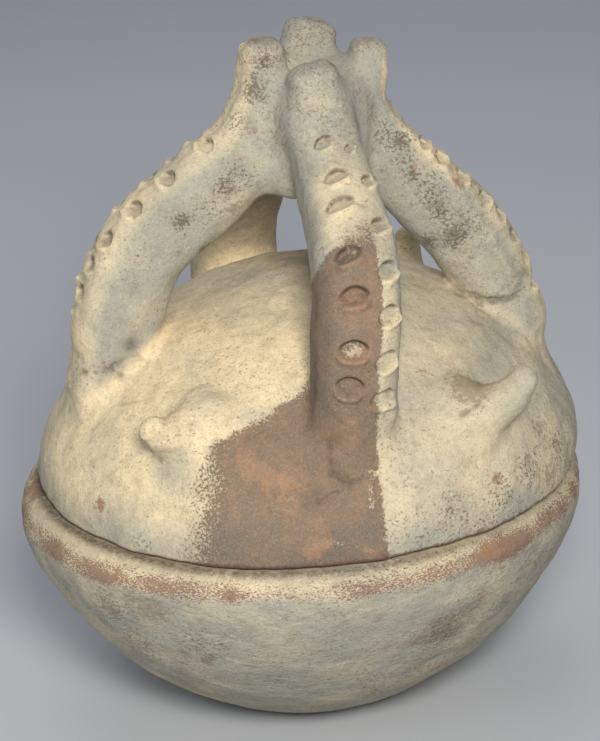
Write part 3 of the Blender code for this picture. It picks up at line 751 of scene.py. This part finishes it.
def mark_relief(points, marks):
    """How far the impressions raise or sink the clay. Each is a lens whose floor falls towards the
    arc at its upper end, where the wall is steep, and whose clay was pushed down into a rounded
    lip along its lower end."""
    relief = np.zeros(len(points))
    for mark in marks:
        near, side, up, q = mark_place(points, mark)
        steep = 0.45 + 0.38 * ramp(up, -0.15, 0.35)
        hollow = fall(q, steep, 1.02) * (0.45 + 0.55 * ramp(up, -0.40, 0.45))
        relief[near] += mark.depth * (0.50 * lip_share(side, up, 0.60, 0.24, 1.05) - hollow)
    return relief


def mark_floor(points, marks):
    """How far a point is in the hollow of an impression, along its steep upper arc and on its lip,
    each from 0 to 1."""
    floor, arcs, lips = np.zeros((3, len(points)))
    for mark in marks:
        near, side, up, q = mark_place(points, mark)
        arc = np.exp(-((q - 0.84) / 0.14) ** 2) * ramp(up, 0.0, 0.35)
        for total, share in ((floor, fall(q, 0.55, 0.90)), (arcs, arc),
                             (lips, lip_share(side, up, 0.55, 0.28, 1.0))):
            total[near] = np.maximum(total[near], share)
    return floor, arcs, lips


def stroke_relief(points, strokes):
    """How far strokes raise or sink the clay: each its height times exp of minus the squared
    distance from its line in widths. Noise moves the points a little, so that lines waver."""
    relief = np.zeros(len(points))
    for stroke in strokes:
        start, end = np.array(stroke[:3]) / 1e3, np.array(stroke[3:6]) / 1e3
        width, height = stroke[6] / 1e3, stroke[7] / 1e3
        margin = STROKE_REACH * width
        near = in_box(points, np.minimum(start, end) - margin, np.maximum(start, end) + margin)
        run = end - start
        waver = [noise(points[near], WAVER_SIZE, WAVER_SEED + axis) for axis in range(3)]
        away = points[near] - start + WAVER * np.column_stack(waver)
        away -= np.clip(away @ run / (run @ run), 0.0, 1.0)[:, None] * run
        relief[near] += height * np.exp(-dot(away, away) / width ** 2)
    return relief


def grounded(places, sizes):
    """Rows that start with places in millimetres, with those places moved onto the lid's surface.
    Strokes, whose rows are longer, have two places and spots one."""
    rolls = lid_rolls(sizes)
    rows = np.array(places, float)
    for first in (0, 3) if rows.shape[1] > 6 else (0,):
        ends = upright(rows[:, first:first + 3] / 1e3)
        ends, _ = onto_surface(ends, lambda points: lid_gap(points, sizes, rolls), 4)
        rows[:, first:first + 3] = leaning(ends) * 1e3
    return rows


def on_arms(points, sizes):
    """For each arm its roll, which points are near it, and their places on the roll."""
    for arm in ARMS.values():
        clay = arm_roll(arm, sizes)
        near = in_box(points, clay.low, clay.high)
        yield clay, near, roll_place(points[near], clay)


def arm_streaks(points, sizes):
    """Shallow lines that fingers drew along the arms: noise that is far longer along a roll than
    across it."""
    relief = np.zeros(len(points))
    for clay, near, (share, across, out, _, width, depth) in on_arms(points, sizes):
        length = np.linalg.norm(np.diff(clay.line, axis=0), axis=1).sum()
        drawn = np.column_stack((across * width, out * depth, share * length / STREAK_STRETCH))
        on = fall(np.hypot(across, out), 1.2, 1.5)
        relief[near] += on * noises(drawn, (0.00035, 0.006, 61), (0.0005, 0.012, 62))
    return relief


def arm_faces(points, sizes):
    """How far out of its arm each point lies, from -1 on the inner side to 1 on the outer one, and
    0 where there is no arm."""
    faces = np.zeros(len(points))
    for _, near, (_, across, out, _, _, _) in on_arms(points, sizes):
        faces[near] = np.where(np.hypot(across, out) < 1.4, np.clip(out, -1, 1), faces[near])
    return faces


def clay_relief(points):
    """The unevenness that hands left: broad swells, finger dents and a little roughness."""
    return noises(points, (0.0013, 0.045, 11), (0.0008, 0.020, 12), (0.00055, 0.010, 13),
                  (0.0003, 0.0045, 14))


def lid_surface(sizes):
    """The lid's mesh: a net over the field, refined once on the outside and once more where
    impressions and strokes lie, moved onto the field's surface, and then raised or sunk along its
    normals."""
    rolls = lid_rolls(sizes)
    marks = mark_places(sizes)
    strokes = grounded(LID_STROKES, sizes)

    def gap(points):
        return lid_gap(points, sizes, rolls)

    step = GRID_STEP * 1.0
    reach = sizes.lid_radius + 2 * step
    low = np.array((-reach, -reach, SEAM - 2 * step))
    high = np.array((reach, reach, LID_TOP[2] + 2 * step))
    axes = [np.arange(low[axis], high[axis] + step, step) for axis in range(3)]
    grid = np.stack(np.meshgrid(*axes, indexing="ij"), axis=-1)
    field = gap(grid.reshape(-1, 3)).reshape(grid.shape[:3])
    points, quads = surface_net(field, low, step)
    points, _ = onto_surface(relaxed(points, quads, 2), gap, 2)
    mesh = mesh_from(points, quads)
    outside = dome_gap(points, sizes) > -0.5 * sizes.wall
    points, _ = onto_surface(refined(mesh, outside), gap, 1)
    set_points(mesh, points)
    fine = np.abs(stroke_relief(leaning(points), strokes)) > 1e-4
    for mark in marks:
        fine |= near_mark(points, mark, FINE_REACH)[0]
    points, normals = onto_surface(refined(mesh, fine), gap, 2)
    rise = (mark_relief(points, marks) + clay_relief(points) + arm_streaks(points, sizes)
            + stroke_relief(leaning(points), strokes))
    points = leaning(points + normals * rise[:, None])
    points[:, 2] = np.clip(points[:, 2], SEAM, LID_TOP[2] - 1e-5)
    set_points(mesh, points)
    return mesh


def place_in_scene(name, data):
    """An object at the origin with the given data, linked to the scene."""
    item = bpy.data.objects.new(name, data)
    bpy.context.scene.collection.objects.link(item)
    return item


def thinned(mesh, limit):
    """The mesh in triangles, with its flattest ones merged until no more than limit are left."""
    item = place_in_scene("thinning", mesh)
    item.modifiers.new("triangles", "TRIANGULATE")
    triangles = sum(len(polygon.vertices) - 2 for polygon in mesh.polygons)
    if triangles > limit:
        thin = item.modifiers.new("thin", "DECIMATE")
        thin.ratio = limit / triangles
    graph = bpy.context.evaluated_depsgraph_get()
    result = bpy.data.meshes.new_from_object(item.evaluated_get(graph))
    bpy.data.objects.remove(item)
    return result


def give(mesh, **masks):
    """Store one number for each point under each name, which the materials read."""
    for name, values in masks.items():
        layer = mesh.attributes.new(name, "FLOAT", "POINT")
        layer.data.foreach_set("value", values.astype(np.float32))


def piece(name, mesh, material, node):
    """A finished piece at the origin that stands for a solid of the frame."""
    mesh.shade_smooth()
    mesh.materials.clear()
    mesh.materials.append(material)
    item = place_in_scene(name, mesh)
    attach(item, "root")
    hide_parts(node)
    return item


def patch_share(azimuth, height, ragged):
    """The bare patch on the dome, from 0 to 1: a slow step in from its left edge at each height,
    and a sharp one out at its right edge and at its top. Ragged moves the edges."""
    left, right = (np.interp(height, PATCH_HEIGHTS, edge) for edge in (PATCH_LEFT, PATCH_RIGHT))
    spread = 4.0 + 6.0 * fall(height, 30, 50)
    share = 0.8 * ramp(azimuth + ragged, left - spread, left + spread)
    share += 0.2 * ramp(azimuth, left, left + 14)
    return share * fall(azimuth + 0.2 * ragged, right - 0.5, right + 0.9) * fall(height, 72, 82)


def lid_masks(mesh, sizes):
    """Where the lid's slip is missing, worn or marked, one number for each point. Heights are in
    millimetres over the seam."""
    places = points_of(mesh)
    points = upright(places)
    azimuth, height = azimuth_of(points), (points[:, 2] - SEAM) * 1e3
    dome = dome_gap(points, sizes)
    outside = dome > -0.6 * sizes.wall
    marks = mark_places(sizes)
    floor, arcs, lips = mark_floor(points, marks)
    strokes = grounded(LID_STROKES, sizes)
    lines = stroke_relief(places, strokes[strokes[:, 6] < FINE_LINE]) / 1e-3
    orange_spots, brown_spots, rust, speck_spots, dirt_spots = (
        blobs(places, grounded(spots, sizes))
        for spots in (ORANGE_SPOTS, BROWN_SPOTS, RUST_SPOTS, SPECK_SPOTS, DIRT_AND_SHADE_SPOTS))

    # Bare clay: the dome's patch and a stretch of the front arm, with slip left on raised strokes
    # and in the impressions' hollows, most of all in one. Inside, the lid is all bare
    ragged = noises(points, (3.0, 0.014, 31), (1.5, 0.005, 32))
    share, across, out, _, _, _ = roll_place(points, arm_roll(ARMS["front"], sizes))
    on_arm = (np.hypot(across, out) < 1.5) * ramp(out, -0.7, -0.1)
    left = -1.8 + 1.3 * ramp(share, 0.39, 0.49)
    arm = fall(share + 0.008 * ragged, 0.435, 0.500) * ramp(across, left, left + 0.40)
    arm *= on_arm * fall(across + 0.03 * ragged, 0.16, 0.42)
    bare = np.maximum(patch_share(azimuth, height, ragged), arm) * (1 - 0.75 * np.clip(lines, 0, 1))
    kept = blob(points, marks[SLIP_LEFT_IN].middle, 0.008) + 0.35
    bare = np.where(outside, bare * (1 - 0.62 * floor * np.minimum(kept, 1)), 1.0)

    # Dust on the bare clay, most of it low and at the left, and orange on the lips and in spots
    dust = 0.22 + 0.45 * fall(height, 8, 30) + 0.35 * fall(azimuth, -24, -12) * (height < 60)
    dust += 0.15 * noise(places, 0.02, 45) - 0.4 * orange_spots
    orange = np.maximum(0.95 * lips * (height > 40), orange_spots)
    orange -= 0.3 * arm * (orange < 0.3)

    # Thick cream slip: less on the handle than on the dome, less near the joint, round the right
    # and the back and at the crown, more on the arms' outer sides and less high on the front arm.
    # Part of this is painted light and shade: the crown's greying is partly painted shadow of the hub
    # and partly dirt, the arms' outer sides get painted light and their inner sides painted shade, and
    # the back arm and the impressions' lips get painted light
    handle = ramp(dome, 0.003, 0.010) * (1 - blobs(places, KNOB_SPOTS))
    cream = (1.0 - 0.78 * handle) * (0.3 + 0.7 * ramp(height, 4, 26))
    cream *= 1.0 - 0.52 * ramp(azimuth, 5, 35) - 0.3 * ramp(-azimuth, 60, 90)
    # Greyer at the crown: partly painted shadow of the hub, partly dirt
    cream *= 1.0 - 0.35 * ramp(height, 75, 98) * (1 - handle)
    # The cream spot on the back arm is painted light
    cream += blobs(places, CREAM_AND_LIGHT_SPOTS) - blobs(places, GREY_SPOTS)
    # Painted light on the arms' outer sides and painted shade on their inner sides
    cream += handle * (0.70 * ramp(arm_faces(points, sizes), 0.5, 0.9) - 0.18)
    cream -= on_arm * (0.12 + 0.36 * ramp(share, 0.55, 0.75))
    # The impressions' lips get painted highlights
    cream += noises(points, (0.22, 0.030, 43), (0.14, 0.012, 48)) + 0.3 * lips

    # Slip worn off along the lid's lower edge, more of it from the front round to the right, and
    # off the tops of the stubs
    front = ramp(azimuth, -30, -18)
    edge = fall(height, 1.5, 4.0) * (0.38 + 0.20 * front) + 0.20 * fall(height, 3.0, 12.0) * front
    top = ramp(points[:, 2] - SEAM, 0.90 * sizes.handle_height, 0.96 * sizes.handle_height)
    wear = np.maximum(edge, 0.36 * top) * outside
    # Flecks in clouds, with more of them low at the right, and brown stain in clouds
    specks = 0.18 + 0.24 * noise(points, 0.040, 41) + 0.16 * handle * noise(points, 0.016, 47)
    specks += 0.35 * fall(height, 5, 40) * ramp(azimuth, 12, 24) * ramp(-azimuth, -120, -90)
    patchy = 0.14 + 0.06 * handle + noises(places, (0.15, 0.03, 44), (0.12, 0.012, 46))
    # Painted shadow along the impressions' steep upper arcs and painted shade in their hollows, most
    # on the left arm; dirt in spots and in sunk lines, with painted contact shadow where the left and
    # right arms meet the dome; and dirt with painted contact shadow in the joint against the bowl
    hollow_shade = (0.12 + 0.16 * (places[:, 0] < -0.04)) * floor
    joint = 0.85 * fall(height, 0.3, 1.8)
    dirt = np.maximum.reduce((0.88 * arcs, hollow_shade, dirt_spots, 0.6 * np.clip(-lines, 0, 1), joint))
    give(mesh, bare=bare, dust=np.clip(dust, 0, 1), orange=orange, cream=np.clip(cream, 0, 1),
         wear=np.clip(wear, 0, 1), specks=np.clip(np.maximum(specks, speck_spots), 0, 1.5),
         stain=np.maximum(patchy, brown_spots), rust=rust, dirt=dirt)


def bowl_profile(sizes, steps):
    """Radius and height from the middle of the underside, up the outside, over the rim and down
    the inside to the middle of the floor: superellipse arcs, a band that leans in and a flat land,
    read at even steps and smoothed so that every edge is rounded."""
    turn = np.linspace(0.0, 0.5 * pi, 120)
    power = 2.0 / BOWL_FULLNESS
    reach, rise = sizes.rim_radius - sizes.base_radius, sizes.ridge_height
    outside = np.column_stack((sizes.base_radius + reach * np.sin(turn) ** power,
                               rise * (1.0 - np.cos(turn) ** power)))
    top = BOWL_TOP[2]
    crest = sizes.rim_radius - sizes.bevel
    throat = crest - sizes.land
    way = unit(np.gradient(outside, axis=0))
    inside = outside + sizes.wall * np.column_stack((-way[:, 1], way[:, 0]))
    inside[:, 0] = np.minimum(inside[:, 0], throat + RIM_FLARE * (top - inside[:, 1]))
    inside[:, 1] = np.maximum(inside[:, 1], sizes.wall)
    profile = np.vstack(((0.0, 0.0), outside, (crest, top), (throat, top), inside[::-1], (0.0, sizes.wall)))
    length = np.append(0.0, np.cumsum(np.hypot(*np.diff(profile, axis=0).T)))
    even = np.linspace(0.0, length[-1], steps)
    profile = np.column_stack([np.interp(even, length, column) for column in profile.T])
    for _ in range(3):
        profile[1:-1] = 0.25 * profile[:-2] + 0.5 * profile[1:-1] + 0.25 * profile[2:]
    return profile


def carried_round(profile, sides):
    """A profile carried round the axis. It starts and ends on the axis, where one point each
    closes the surface. Points are radius times the sine and the cosine of the turn."""
    turn = np.linspace(0.0, 2 * pi, sides, endpoint=False)
    rings = profile[1:-1]
    points = np.stack((rings[:, :1] * np.sin(turn), -rings[:, :1] * np.cos(turn),
                       np.repeat(rings[:, 1:], sides, axis=1)), axis=-1).reshape(-1, 3)
    index = np.arange(len(rings) * sides).reshape(len(rings), sides)
    after = np.roll(index, -1, axis=1)
    quads = np.stack((index[:-1], after[:-1], after[1:], index[1:]), axis=-1).reshape(-1, 4)
    low, high = len(points), len(points) + 1
    under = np.column_stack((after[0], index[0], np.full(sides, low)))
    over = np.column_stack((index[-1], after[-1], np.full(sides, high)))
    triangles = np.concatenate((quads[:, [0, 1, 2]], quads[:, [0, 2, 3]], under, over))
    ends = np.array(((0.0, 0.0, profile[0, 1]), (0.0, 0.0, profile[-1, 1])))
    return np.concatenate((points, ends)), triangles


def bowl_surface(sizes):
    """The bowl's mesh and each point's share of the way along the profile: the profile carried
    round, with the rim drawn in and down by a sum of two sines of the azimuth where the hand
    wavered, and the clay's unevenness along the radius."""
    points, triangles = carried_round(bowl_profile(sizes, BOWL_STEPS), BOWL_SIDES)
    last = BOWL_STEPS - 1
    ring = np.append(np.repeat(np.arange(1, last), BOWL_SIDES), (0, last)) / last
    radius, height = np.hypot(points[:, 0], points[:, 1]), points[:, 2]
    azimuth = np.arctan2(points[:, 0], -points[:, 1])
    wander = 0.5 + 0.25 * np.sin(2 * azimuth + 0.6) + 0.15 * np.sin(5 * azimuth + 2.0)
    share = ramp(height, 0.3 * sizes.ridge_height, sizes.ridge_height)
    uneven = BOWL_UNDER + clay_relief(points) - stroke_relief(points, BOWL_STROKES)
    squeeze = share * RIM_IN * wander + uneven * ramp(height, 0.0, 0.02)
    points[:, :2] *= (1.0 - squeeze / np.maximum(radius, 0.03))[:, None]
    points[:, 2] -= ramp(height, sizes.ridge_height, BOWL_TOP[2]) * RIM_DOWN * wander
    return mesh_from(points, triangles), ring


def bowl_masks(mesh, sizes, ring):
    """Where the bowl's slip is missing, worn or marked, one number for each point. Ring is each
    point's share of the way along the profile."""
    points = points_of(mesh)
    azimuth, height = azimuth_of(points), points[:, 2]
    inner = ring > INNER_FROM
    # Thick cream slip over the ridge and thin slip under it, with more cream at the left
    over = ramp(height, sizes.ridge_height - 0.004, sizes.ridge_height + 0.003)
    cream = 0.05 + 0.53 * over + 0.12 * ramp(-azimuth, 15, 45)
    cream += noises(points, (0.09, 0.04, 53), (0.07, 0.018, 57))
    # Wear along the ridge: exp of minus the square of the height from its line, less at the front
    ridge = np.exp(-((height - sizes.ridge_height - 0.0016) / 0.0060) ** 2) * ~inner
    ridge *= 0.54 + 0.20 * noise(points, 0.025, 51) + 0.12 * noise(points * (1, 1, 3), 0.010, 58)
    ridge *= 1 - 0.22 * (ramp(azimuth, -30, -18) - ramp(azimuth, 2, 14))
    specks = 0.25 + 0.25 * ridge + noises(points * (1, 1, 2), (0.28, 0.045, 52), (0.18, 0.015, 55))
    specks = np.clip(np.maximum(specks, blobs(points, BOWL_SPECKS)), 0, 1.2)
    # Brown stain in level clouds, less of it over the ridge
    patchy = 0.26 + 0.20 * noise(points * (1, 1, 1.6), 0.03, 54) + 0.16 * noise(points * (1, 1, 2), 0.012, 56)
    stain = np.maximum(patchy * (1 - 0.6 * over), 1.1 * blobs(points, BOWL_BROWN))
    # Dirt and painted contact shadow on the rim along the lid's edge
    from_lid = np.hypot(points[:, 0] - LID_SHIFT, points[:, 1]) - sizes.lid_radius
    joint = ramp(height, BOWL_TOP[2] - 0.005, BOWL_TOP[2] - 0.001) * np.exp(-(from_lid / 0.0036) ** 2)
    give(mesh, bare=1.0 * inner, orange=0.6 * inner, dust=np.full(len(points), 0.4),
         cream=np.clip(cream, 0, 1), wear=np.clip(ridge + 0.9 * ridge * blobs(points, RIDGE_SPOTS), 0, 1),
         specks=specks, stain=np.where(inner, 0, stain), rust=blobs(points, BOWL_RUST), dirt=0.88 * joint)


def node(tree, kind, inputs=None, **settings):
    """Add a node, with its settings, and feed its inputs from values or other nodes' sockets."""
    item = tree.nodes.new(kind)
    for key, value in settings.items():
        setattr(item, key, value)
    for key, value in (inputs or {}).items():
        if isinstance(value, bpy.types.NodeSocket):
            tree.links.new(value, item.inputs[key])
        else:
            item.inputs[key].default_value = value
    return item


def new_group(name, numbers, result, kind):
    """A shader node group that takes a place and named numbers and puts out one result. Returns
    its tree and the sockets that its inputs and its result have inside."""
    tree = bpy.data.node_groups.new(name, "ShaderNodeTree")
    tree.interface.new_socket("Place", in_out="INPUT", socket_type="NodeSocketVector")
    for label, default in numbers.items():
        socket = tree.interface.new_socket(label, in_out="INPUT", socket_type="NodeSocketFloat")
        socket.default_value = default
    tree.interface.new_socket(result, in_out="OUTPUT", socket_type=kind)
    return tree, node(tree, "NodeGroupInput").outputs, node(tree, "NodeGroupOutput").inputs[0]


def grain(tree, where, scale, detail, roughness):
    """Blender's noise from 0 to 1, at a number of lumps in a metre."""
    return node(tree, "ShaderNodeTexNoise", {"Vector": where, "Scale": scale, "Detail": detail,
                                             "Roughness": roughness}).outputs["Fac"]


def stretch(tree, value, low, high, start, end):
    """A value carried from low..high to start..end by a smooth step."""
    return node(tree, "ShaderNodeMapRange", {"Value": value, "From Min": low, "From Max": high,
                                             "To Min": start, "To Max": end},
                interpolation_type="SMOOTHSTEP").outputs["Result"]


def clouds(tree, where, lumps, low, high, start, end):
    """Noise with its scale, detail and roughness, carried from low..high to start..end."""
    return stretch(tree, grain(tree, where, *lumps), low, high, start, end)


def maths(tree, operation, a, b, clamp=False):
    """Two numbers added, multiplied or the like, and kept from 0 to 1 where clamp is true."""
    return node(tree, "ShaderNodeMath", {0: a, 1: b}, operation=operation, use_clamp=clamp).outputs[0]


def mixed(tree, share, a, b):
    """Two colours mixed, from a at 0 to b at 1, each a node's socket or three numbers."""
    a, b = (one if isinstance(one, bpy.types.NodeSocket) else (*one, 1.0) for one in (a, b))
    return node(tree, "ShaderNodeMix", {0: share, 6: a, 7: b}, data_type="RGBA").outputs[2]


def clay_colour_group(colours):
    """The colour of bare fired clay: brown, orange where it fired so, with grey dust and crumbs of
    slip left on it."""
    tree, source, result = new_group("bare clay colour", {"Orange": 0.0, "Dust": 0.3},
                                     "Color", "NodeSocketColor")
    place = source["Place"]
    cloud = clouds(tree, place, (60, 4, 0.65), 0.40, 0.62, -0.42, 0.42)
    broken = clouds(tree, place, (200, 6, 0.75), 0.42, 0.58, 0.15, 1.25)
    share = maths(tree, "ADD", cloud, maths(tree, "MULTIPLY", broken, source["Orange"]), clamp=True)
    colour = mixed(tree, share, colours.clay, colours.orange_clay)
    film = clouds(tree, place, (110, 6, 0.72), 0.38, 0.62, -0.45, 0.45)
    film = maths(tree, "ADD", film, source["Dust"], clamp=True)
    colour = mixed(tree, maths(tree, "MULTIPLY", film, 0.80), colour, colours.dust)
    crumbs = clouds(tree, place, (1000, 5, 0.8), 0.45, 0.64, 0.0, 0.28)
    tree.links.new(mixed(tree, crumbs, colour, colours.thin_slip), result)


def slip_colour_group(colours):
    """The colour of the slip: cream clouded with thinner, greyer slip, mottled from coarse to fine
    with stain and sprinkled with pale specks that are painted glints. Its Cream share also carries
    painted light and shade."""
    tree, source, result = new_group("slip colour", {"Cream": 0.5}, "Color", "NodeSocketColor")
    place = source["Place"]
    cloud = clouds(tree, place, (26, 4, 0.6), 0.36, 0.64, -0.17, 0.17)
    share = maths(tree, "ADD", cloud, source["Cream"], clamp=True)
    colour = mixed(tree, share, colours.thin_slip, colours.slip)
    # The pale specks mixed in last are painted glints
    pale = [min(1.0, 1.2 * part) for part in colours.slip]
    for lumps, low, high, strength, tint in (((90, 5, 0.7), 0.47, 0.66, 0.22, colours.stain),
                                             ((270, 3, 0.6), 0.46, 0.62, 0.11, colours.stain),
                                             ((800, 4, 0.75), 0.46, 0.62, 0.22, colours.stain),
                                             ((900, 2, 0.6), 0.58, 0.70, 0.22, pale)):
        colour = mixed(tree, clouds(tree, place, lumps, low, high, 0.0, strength), colour, tint)
    tree.links.new(colour, result)


def broken_group(name, scale, base, drop, detail, roughness, low, high):
    """A mask that breaks up into islands and crumbs, a smooth step from low to high in how far
    noise of many sizes is over a level. The level falls from base by drop as Amount goes to 1."""
    tree, source, result = new_group(name, {"Amount": 0.3, "Scale": scale}, "Mask", "NodeSocketFloat")
    level = maths(tree, "SUBTRACT", base, maths(tree, "MULTIPLY", source["Amount"], drop))
    lumps = grain(tree, source["Place"], source["Scale"], detail, roughness)
    over = maths(tree, "SUBTRACT", lumps, level)
    tree.links.new(stretch(tree, over, low, high, 0.0, 1.0), result)


def make_groups(colours):
    """The node groups that both materials use, made once."""
    if "flecks" not in bpy.data.node_groups:
        clay_colour_group(colours)
        slip_colour_group(colours)
        broken_group("crumbled edge", scale=140.0, base=0.67, drop=0.34, detail=7, roughness=0.72,
                     low=-0.013, high=0.030)
        broken_group("flecks", scale=420.0, base=0.675, drop=0.155, detail=5, roughness=0.68,
                     low=-0.004, high=0.030)


def pot_material(name, colours, flatness, fleck_scale):
    """Worn slip over terracotta: the slip's colour, which also carries painted light and shade, the bare
    clay's where loss lets it through, red along worn edges, flecks, stains, and dirt with painted shade,
    on a rough, pitted surface. Flatness draws the flecks out level, as the potter's hand drew them."""
    groups = {group.name: group for group in bpy.data.node_groups}
    material = bpy.data.materials.new(name)
    material.use_nodes = True
    tree = material.node_tree
    shader = tree.nodes["Principled BSDF"]
    place = node(tree, "ShaderNodeTexCoord").outputs["Object"]
    flat = {"Vector": place, "Scale": (1.0, 1.0, flatness)}
    level = node(tree, "ShaderNodeMapping", flat).outputs["Vector"]
    masks = {key: node(tree, "ShaderNodeAttribute", attribute_name=key).outputs["Fac"]
             for key in ("bare", "cream", "orange", "dust", "wear", "specks", "stain", "rust", "dirt")}

    def grouped(label, where, **inputs):
        inputs["Place"] = where
        return node(tree, "ShaderNodeGroup", inputs, node_tree=groups[label]).outputs[0]

    def times(value, strength):
        return maths(tree, "MULTIPLY", value, strength)

    slip = grouped("slip colour", level, Cream=masks["cream"])
    clay = grouped("bare clay colour", place, Orange=masks["orange"], Dust=masks["dust"])
    bare, worn, stain, rust = (
        grouped("crumbled edge", where, Amount=masks[key], Scale=scale)
        for key, where, scale in (("bare", place, 850.0), ("wear", level, 880.0),
                                  ("stain", level, 460.0), ("rust", place, 420.0)))
    flecks = grouped("flecks", level, Amount=masks["specks"], Scale=fleck_scale)
    smudge = stretch(tree, masks["stain"], 0.30, 0.95, 0.0, 0.40)
    stain = maths(tree, "MAXIMUM", times(stain, 0.58), smudge)
    soft = stretch(tree, masks["bare"], 0.05, 0.95, 0.0, 0.45)
    bare = maths(tree, "MAXIMUM", times(bare, 0.92), soft)
    # Dirt and painted shade, broken up by noise
    dirt = times(masks["dirt"], clouds(tree, place, (300, 4, 0.7), 0.34, 0.60, 0.60, 1.0))
    colour = slip
    for share, over in ((stain, colours.stain), (bare, clay), (times(worn, 0.74), colours.red_clay),
                        (times(rust, 0.75), colours.orange_clay), (times(flecks, 0.66), colours.fleck),
                        (dirt, colours.dirt)):
        colour = mixed(tree, share, colour, over)
    tree.links.new(colour, shader.inputs["Base Color"])
    shader.inputs["Roughness"].default_value = ROUGHNESS
    shader.inputs["Specular IOR Level"].default_value = GLOSS
    height = times(grain(tree, place, 750, 4, 0.75), 0.5)
    for part, strength in ((grain(tree, level, 170, 4, 0.6), 1.3), (flecks, -0.25), (bare, -0.25)):
        height = maths(tree, "ADD", height, times(part, strength))
    bump = node(tree, "ShaderNodeBump",
                {"Strength": BUMP_STRENGTH, "Distance": BUMP_DEPTH, "Height": height})
    tree.links.new(bump.outputs["Normal"], shader.inputs["Normal"])
    return material


class POT_OT_bowl(bpy.types.Operator):
    """Build the bowl's clay surface over its solid"""
    bl_idname = "pot.bowl"
    bl_label = "Bowl"

    def execute(self, context):
        sizes, colours = context.scene.pot_sizes, context.scene.pot_colours
        make_groups(colours)
        mesh, ring = bowl_surface(sizes)
        bowl_masks(mesh, sizes, ring)
        material = pot_material("worn slip", colours, flatness=2.0, fleck_scale=640.0)
        item = piece("bowl_clay", mesh, material, "bowl")
        return {"FINISHED"}


class POT_OT_lid(bpy.types.Operator):
    """Build the lid's clay surface, with arms, stubs, hub and knobs, over its solid"""
    bl_idname = "pot.lid"
    bl_label = "Lid"

    def execute(self, context):
        sizes, colours = context.scene.pot_sizes, context.scene.pot_colours
        make_groups(colours)
        mesh = thinned(lid_surface(sizes), FACE_LIMIT)
        lid_masks(mesh, sizes)
        material = pot_material("pale slip", colours, flatness=1.2, fleck_scale=720.0)
        item = piece("lid_clay", mesh, material, "lid")
        return {"FINISHED"}


class POT_OT_stage(bpy.types.Operator):
    """Add the pale floor, the studio lamps and the camera"""
    bl_idname = "pot.stage"
    bl_label = "Stage"

    def execute(self, context):
        scene = context.scene
        mesh = bpy.data.meshes.new("floor")
        bm = bmesh.new()
        bmesh.ops.create_grid(bm, x_segments=1, y_segments=1, size=FLOOR_HALF)
        bm.to_mesh(mesh)
        bm.free()
        paint = bpy.data.materials.new("floor")
        paint.use_nodes = True
        shader = paint.node_tree.nodes["Principled BSDF"]
        shader.inputs["Base Color"].default_value = FLOOR_COLOUR
        shader.inputs["Roughness"].default_value = FLOOR_ROUGHNESS
        mesh.materials.append(paint)
        floor = place_in_scene("floor", mesh)
        for name, place, power, size, colour in LAMPS:
            light = bpy.data.lights.new(name, "AREA")
            light.energy, light.size, light.color = power, size, colour
            lamp = place_in_scene(name, light)
            lamp.location = place
            lamp.rotation_euler = (Vector(LAMPS_AIM) - lamp.location).to_track_quat("-Z", "Y").to_euler()
        world = bpy.data.worlds.new("studio")
        world.use_nodes = True
        sky = world.node_tree.nodes["Background"]
        sky.inputs["Color"].default_value = SKY_COLOUR
        sky.inputs["Strength"].default_value = SKY_STRENGTH
        scene.world = world
        camera = bpy.data.cameras.new("camera")
        camera.sensor_width = SENSOR_WIDTH
        camera.lens = CAMERA_FOCUS * SENSOR_WIDTH / PICTURE_HEIGHT
        item = place_in_scene("camera", camera)
        pitch = radians(CAMERA_PITCH)
        place = Vector(CAMERA_AIM) + CAMERA_AWAY * Vector((0.0, -cos(pitch), sin(pitch)))
        item.matrix_world = (Matrix.Translation(place) @ Matrix.Rotation(0.5 * pi - pitch, 4, "X")
                             @ Matrix.Rotation(radians(CAMERA_ROLL), 4, "Z"))
        scene.camera = item
        scene.view_settings.view_transform = "Standard"
        return {"FINISHED"}


class POT_PT_panel(bpy.types.Panel):
    """Lists the pot's pieces, sizes and colours"""
    bl_label = "Covered Pot"
    bl_idname = "POT_PT_panel"
    bl_space_type = "VIEW_3D"
    bl_region_type = "UI"
    bl_category = "Pot"

    def draw(self, context):
        layout = self.layout
        for kind in (POT_OT_bowl, POT_OT_lid, POT_OT_stage):
            layout.operator(kind.bl_idname)
        for group in (context.scene.pot_sizes, context.scene.pot_colours):
            box = layout.box()
            for name in group.__annotations__:
                box.prop(group, name)


CLASSES = (PotSizes, PotColours, POT_OT_bowl, POT_OT_lid, POT_OT_stage, POT_PT_panel)


def register():
    for kind in CLASSES:
        bpy.utils.register_class(kind)
    bpy.types.Scene.pot_sizes = PointerProperty(type=PotSizes)
    bpy.types.Scene.pot_colours = PointerProperty(type=PotColours)


def unregister():
    del bpy.types.Scene.pot_sizes
    del bpy.types.Scene.pot_colours
    for kind in reversed(CLASSES):
        bpy.utils.unregister_class(kind)


def main():
    register()
    bpy.ops.pot.stage()
    bpy.ops.pot.bowl()
    bpy.ops.pot.lid()


if __name__ == "__main__":
    main()
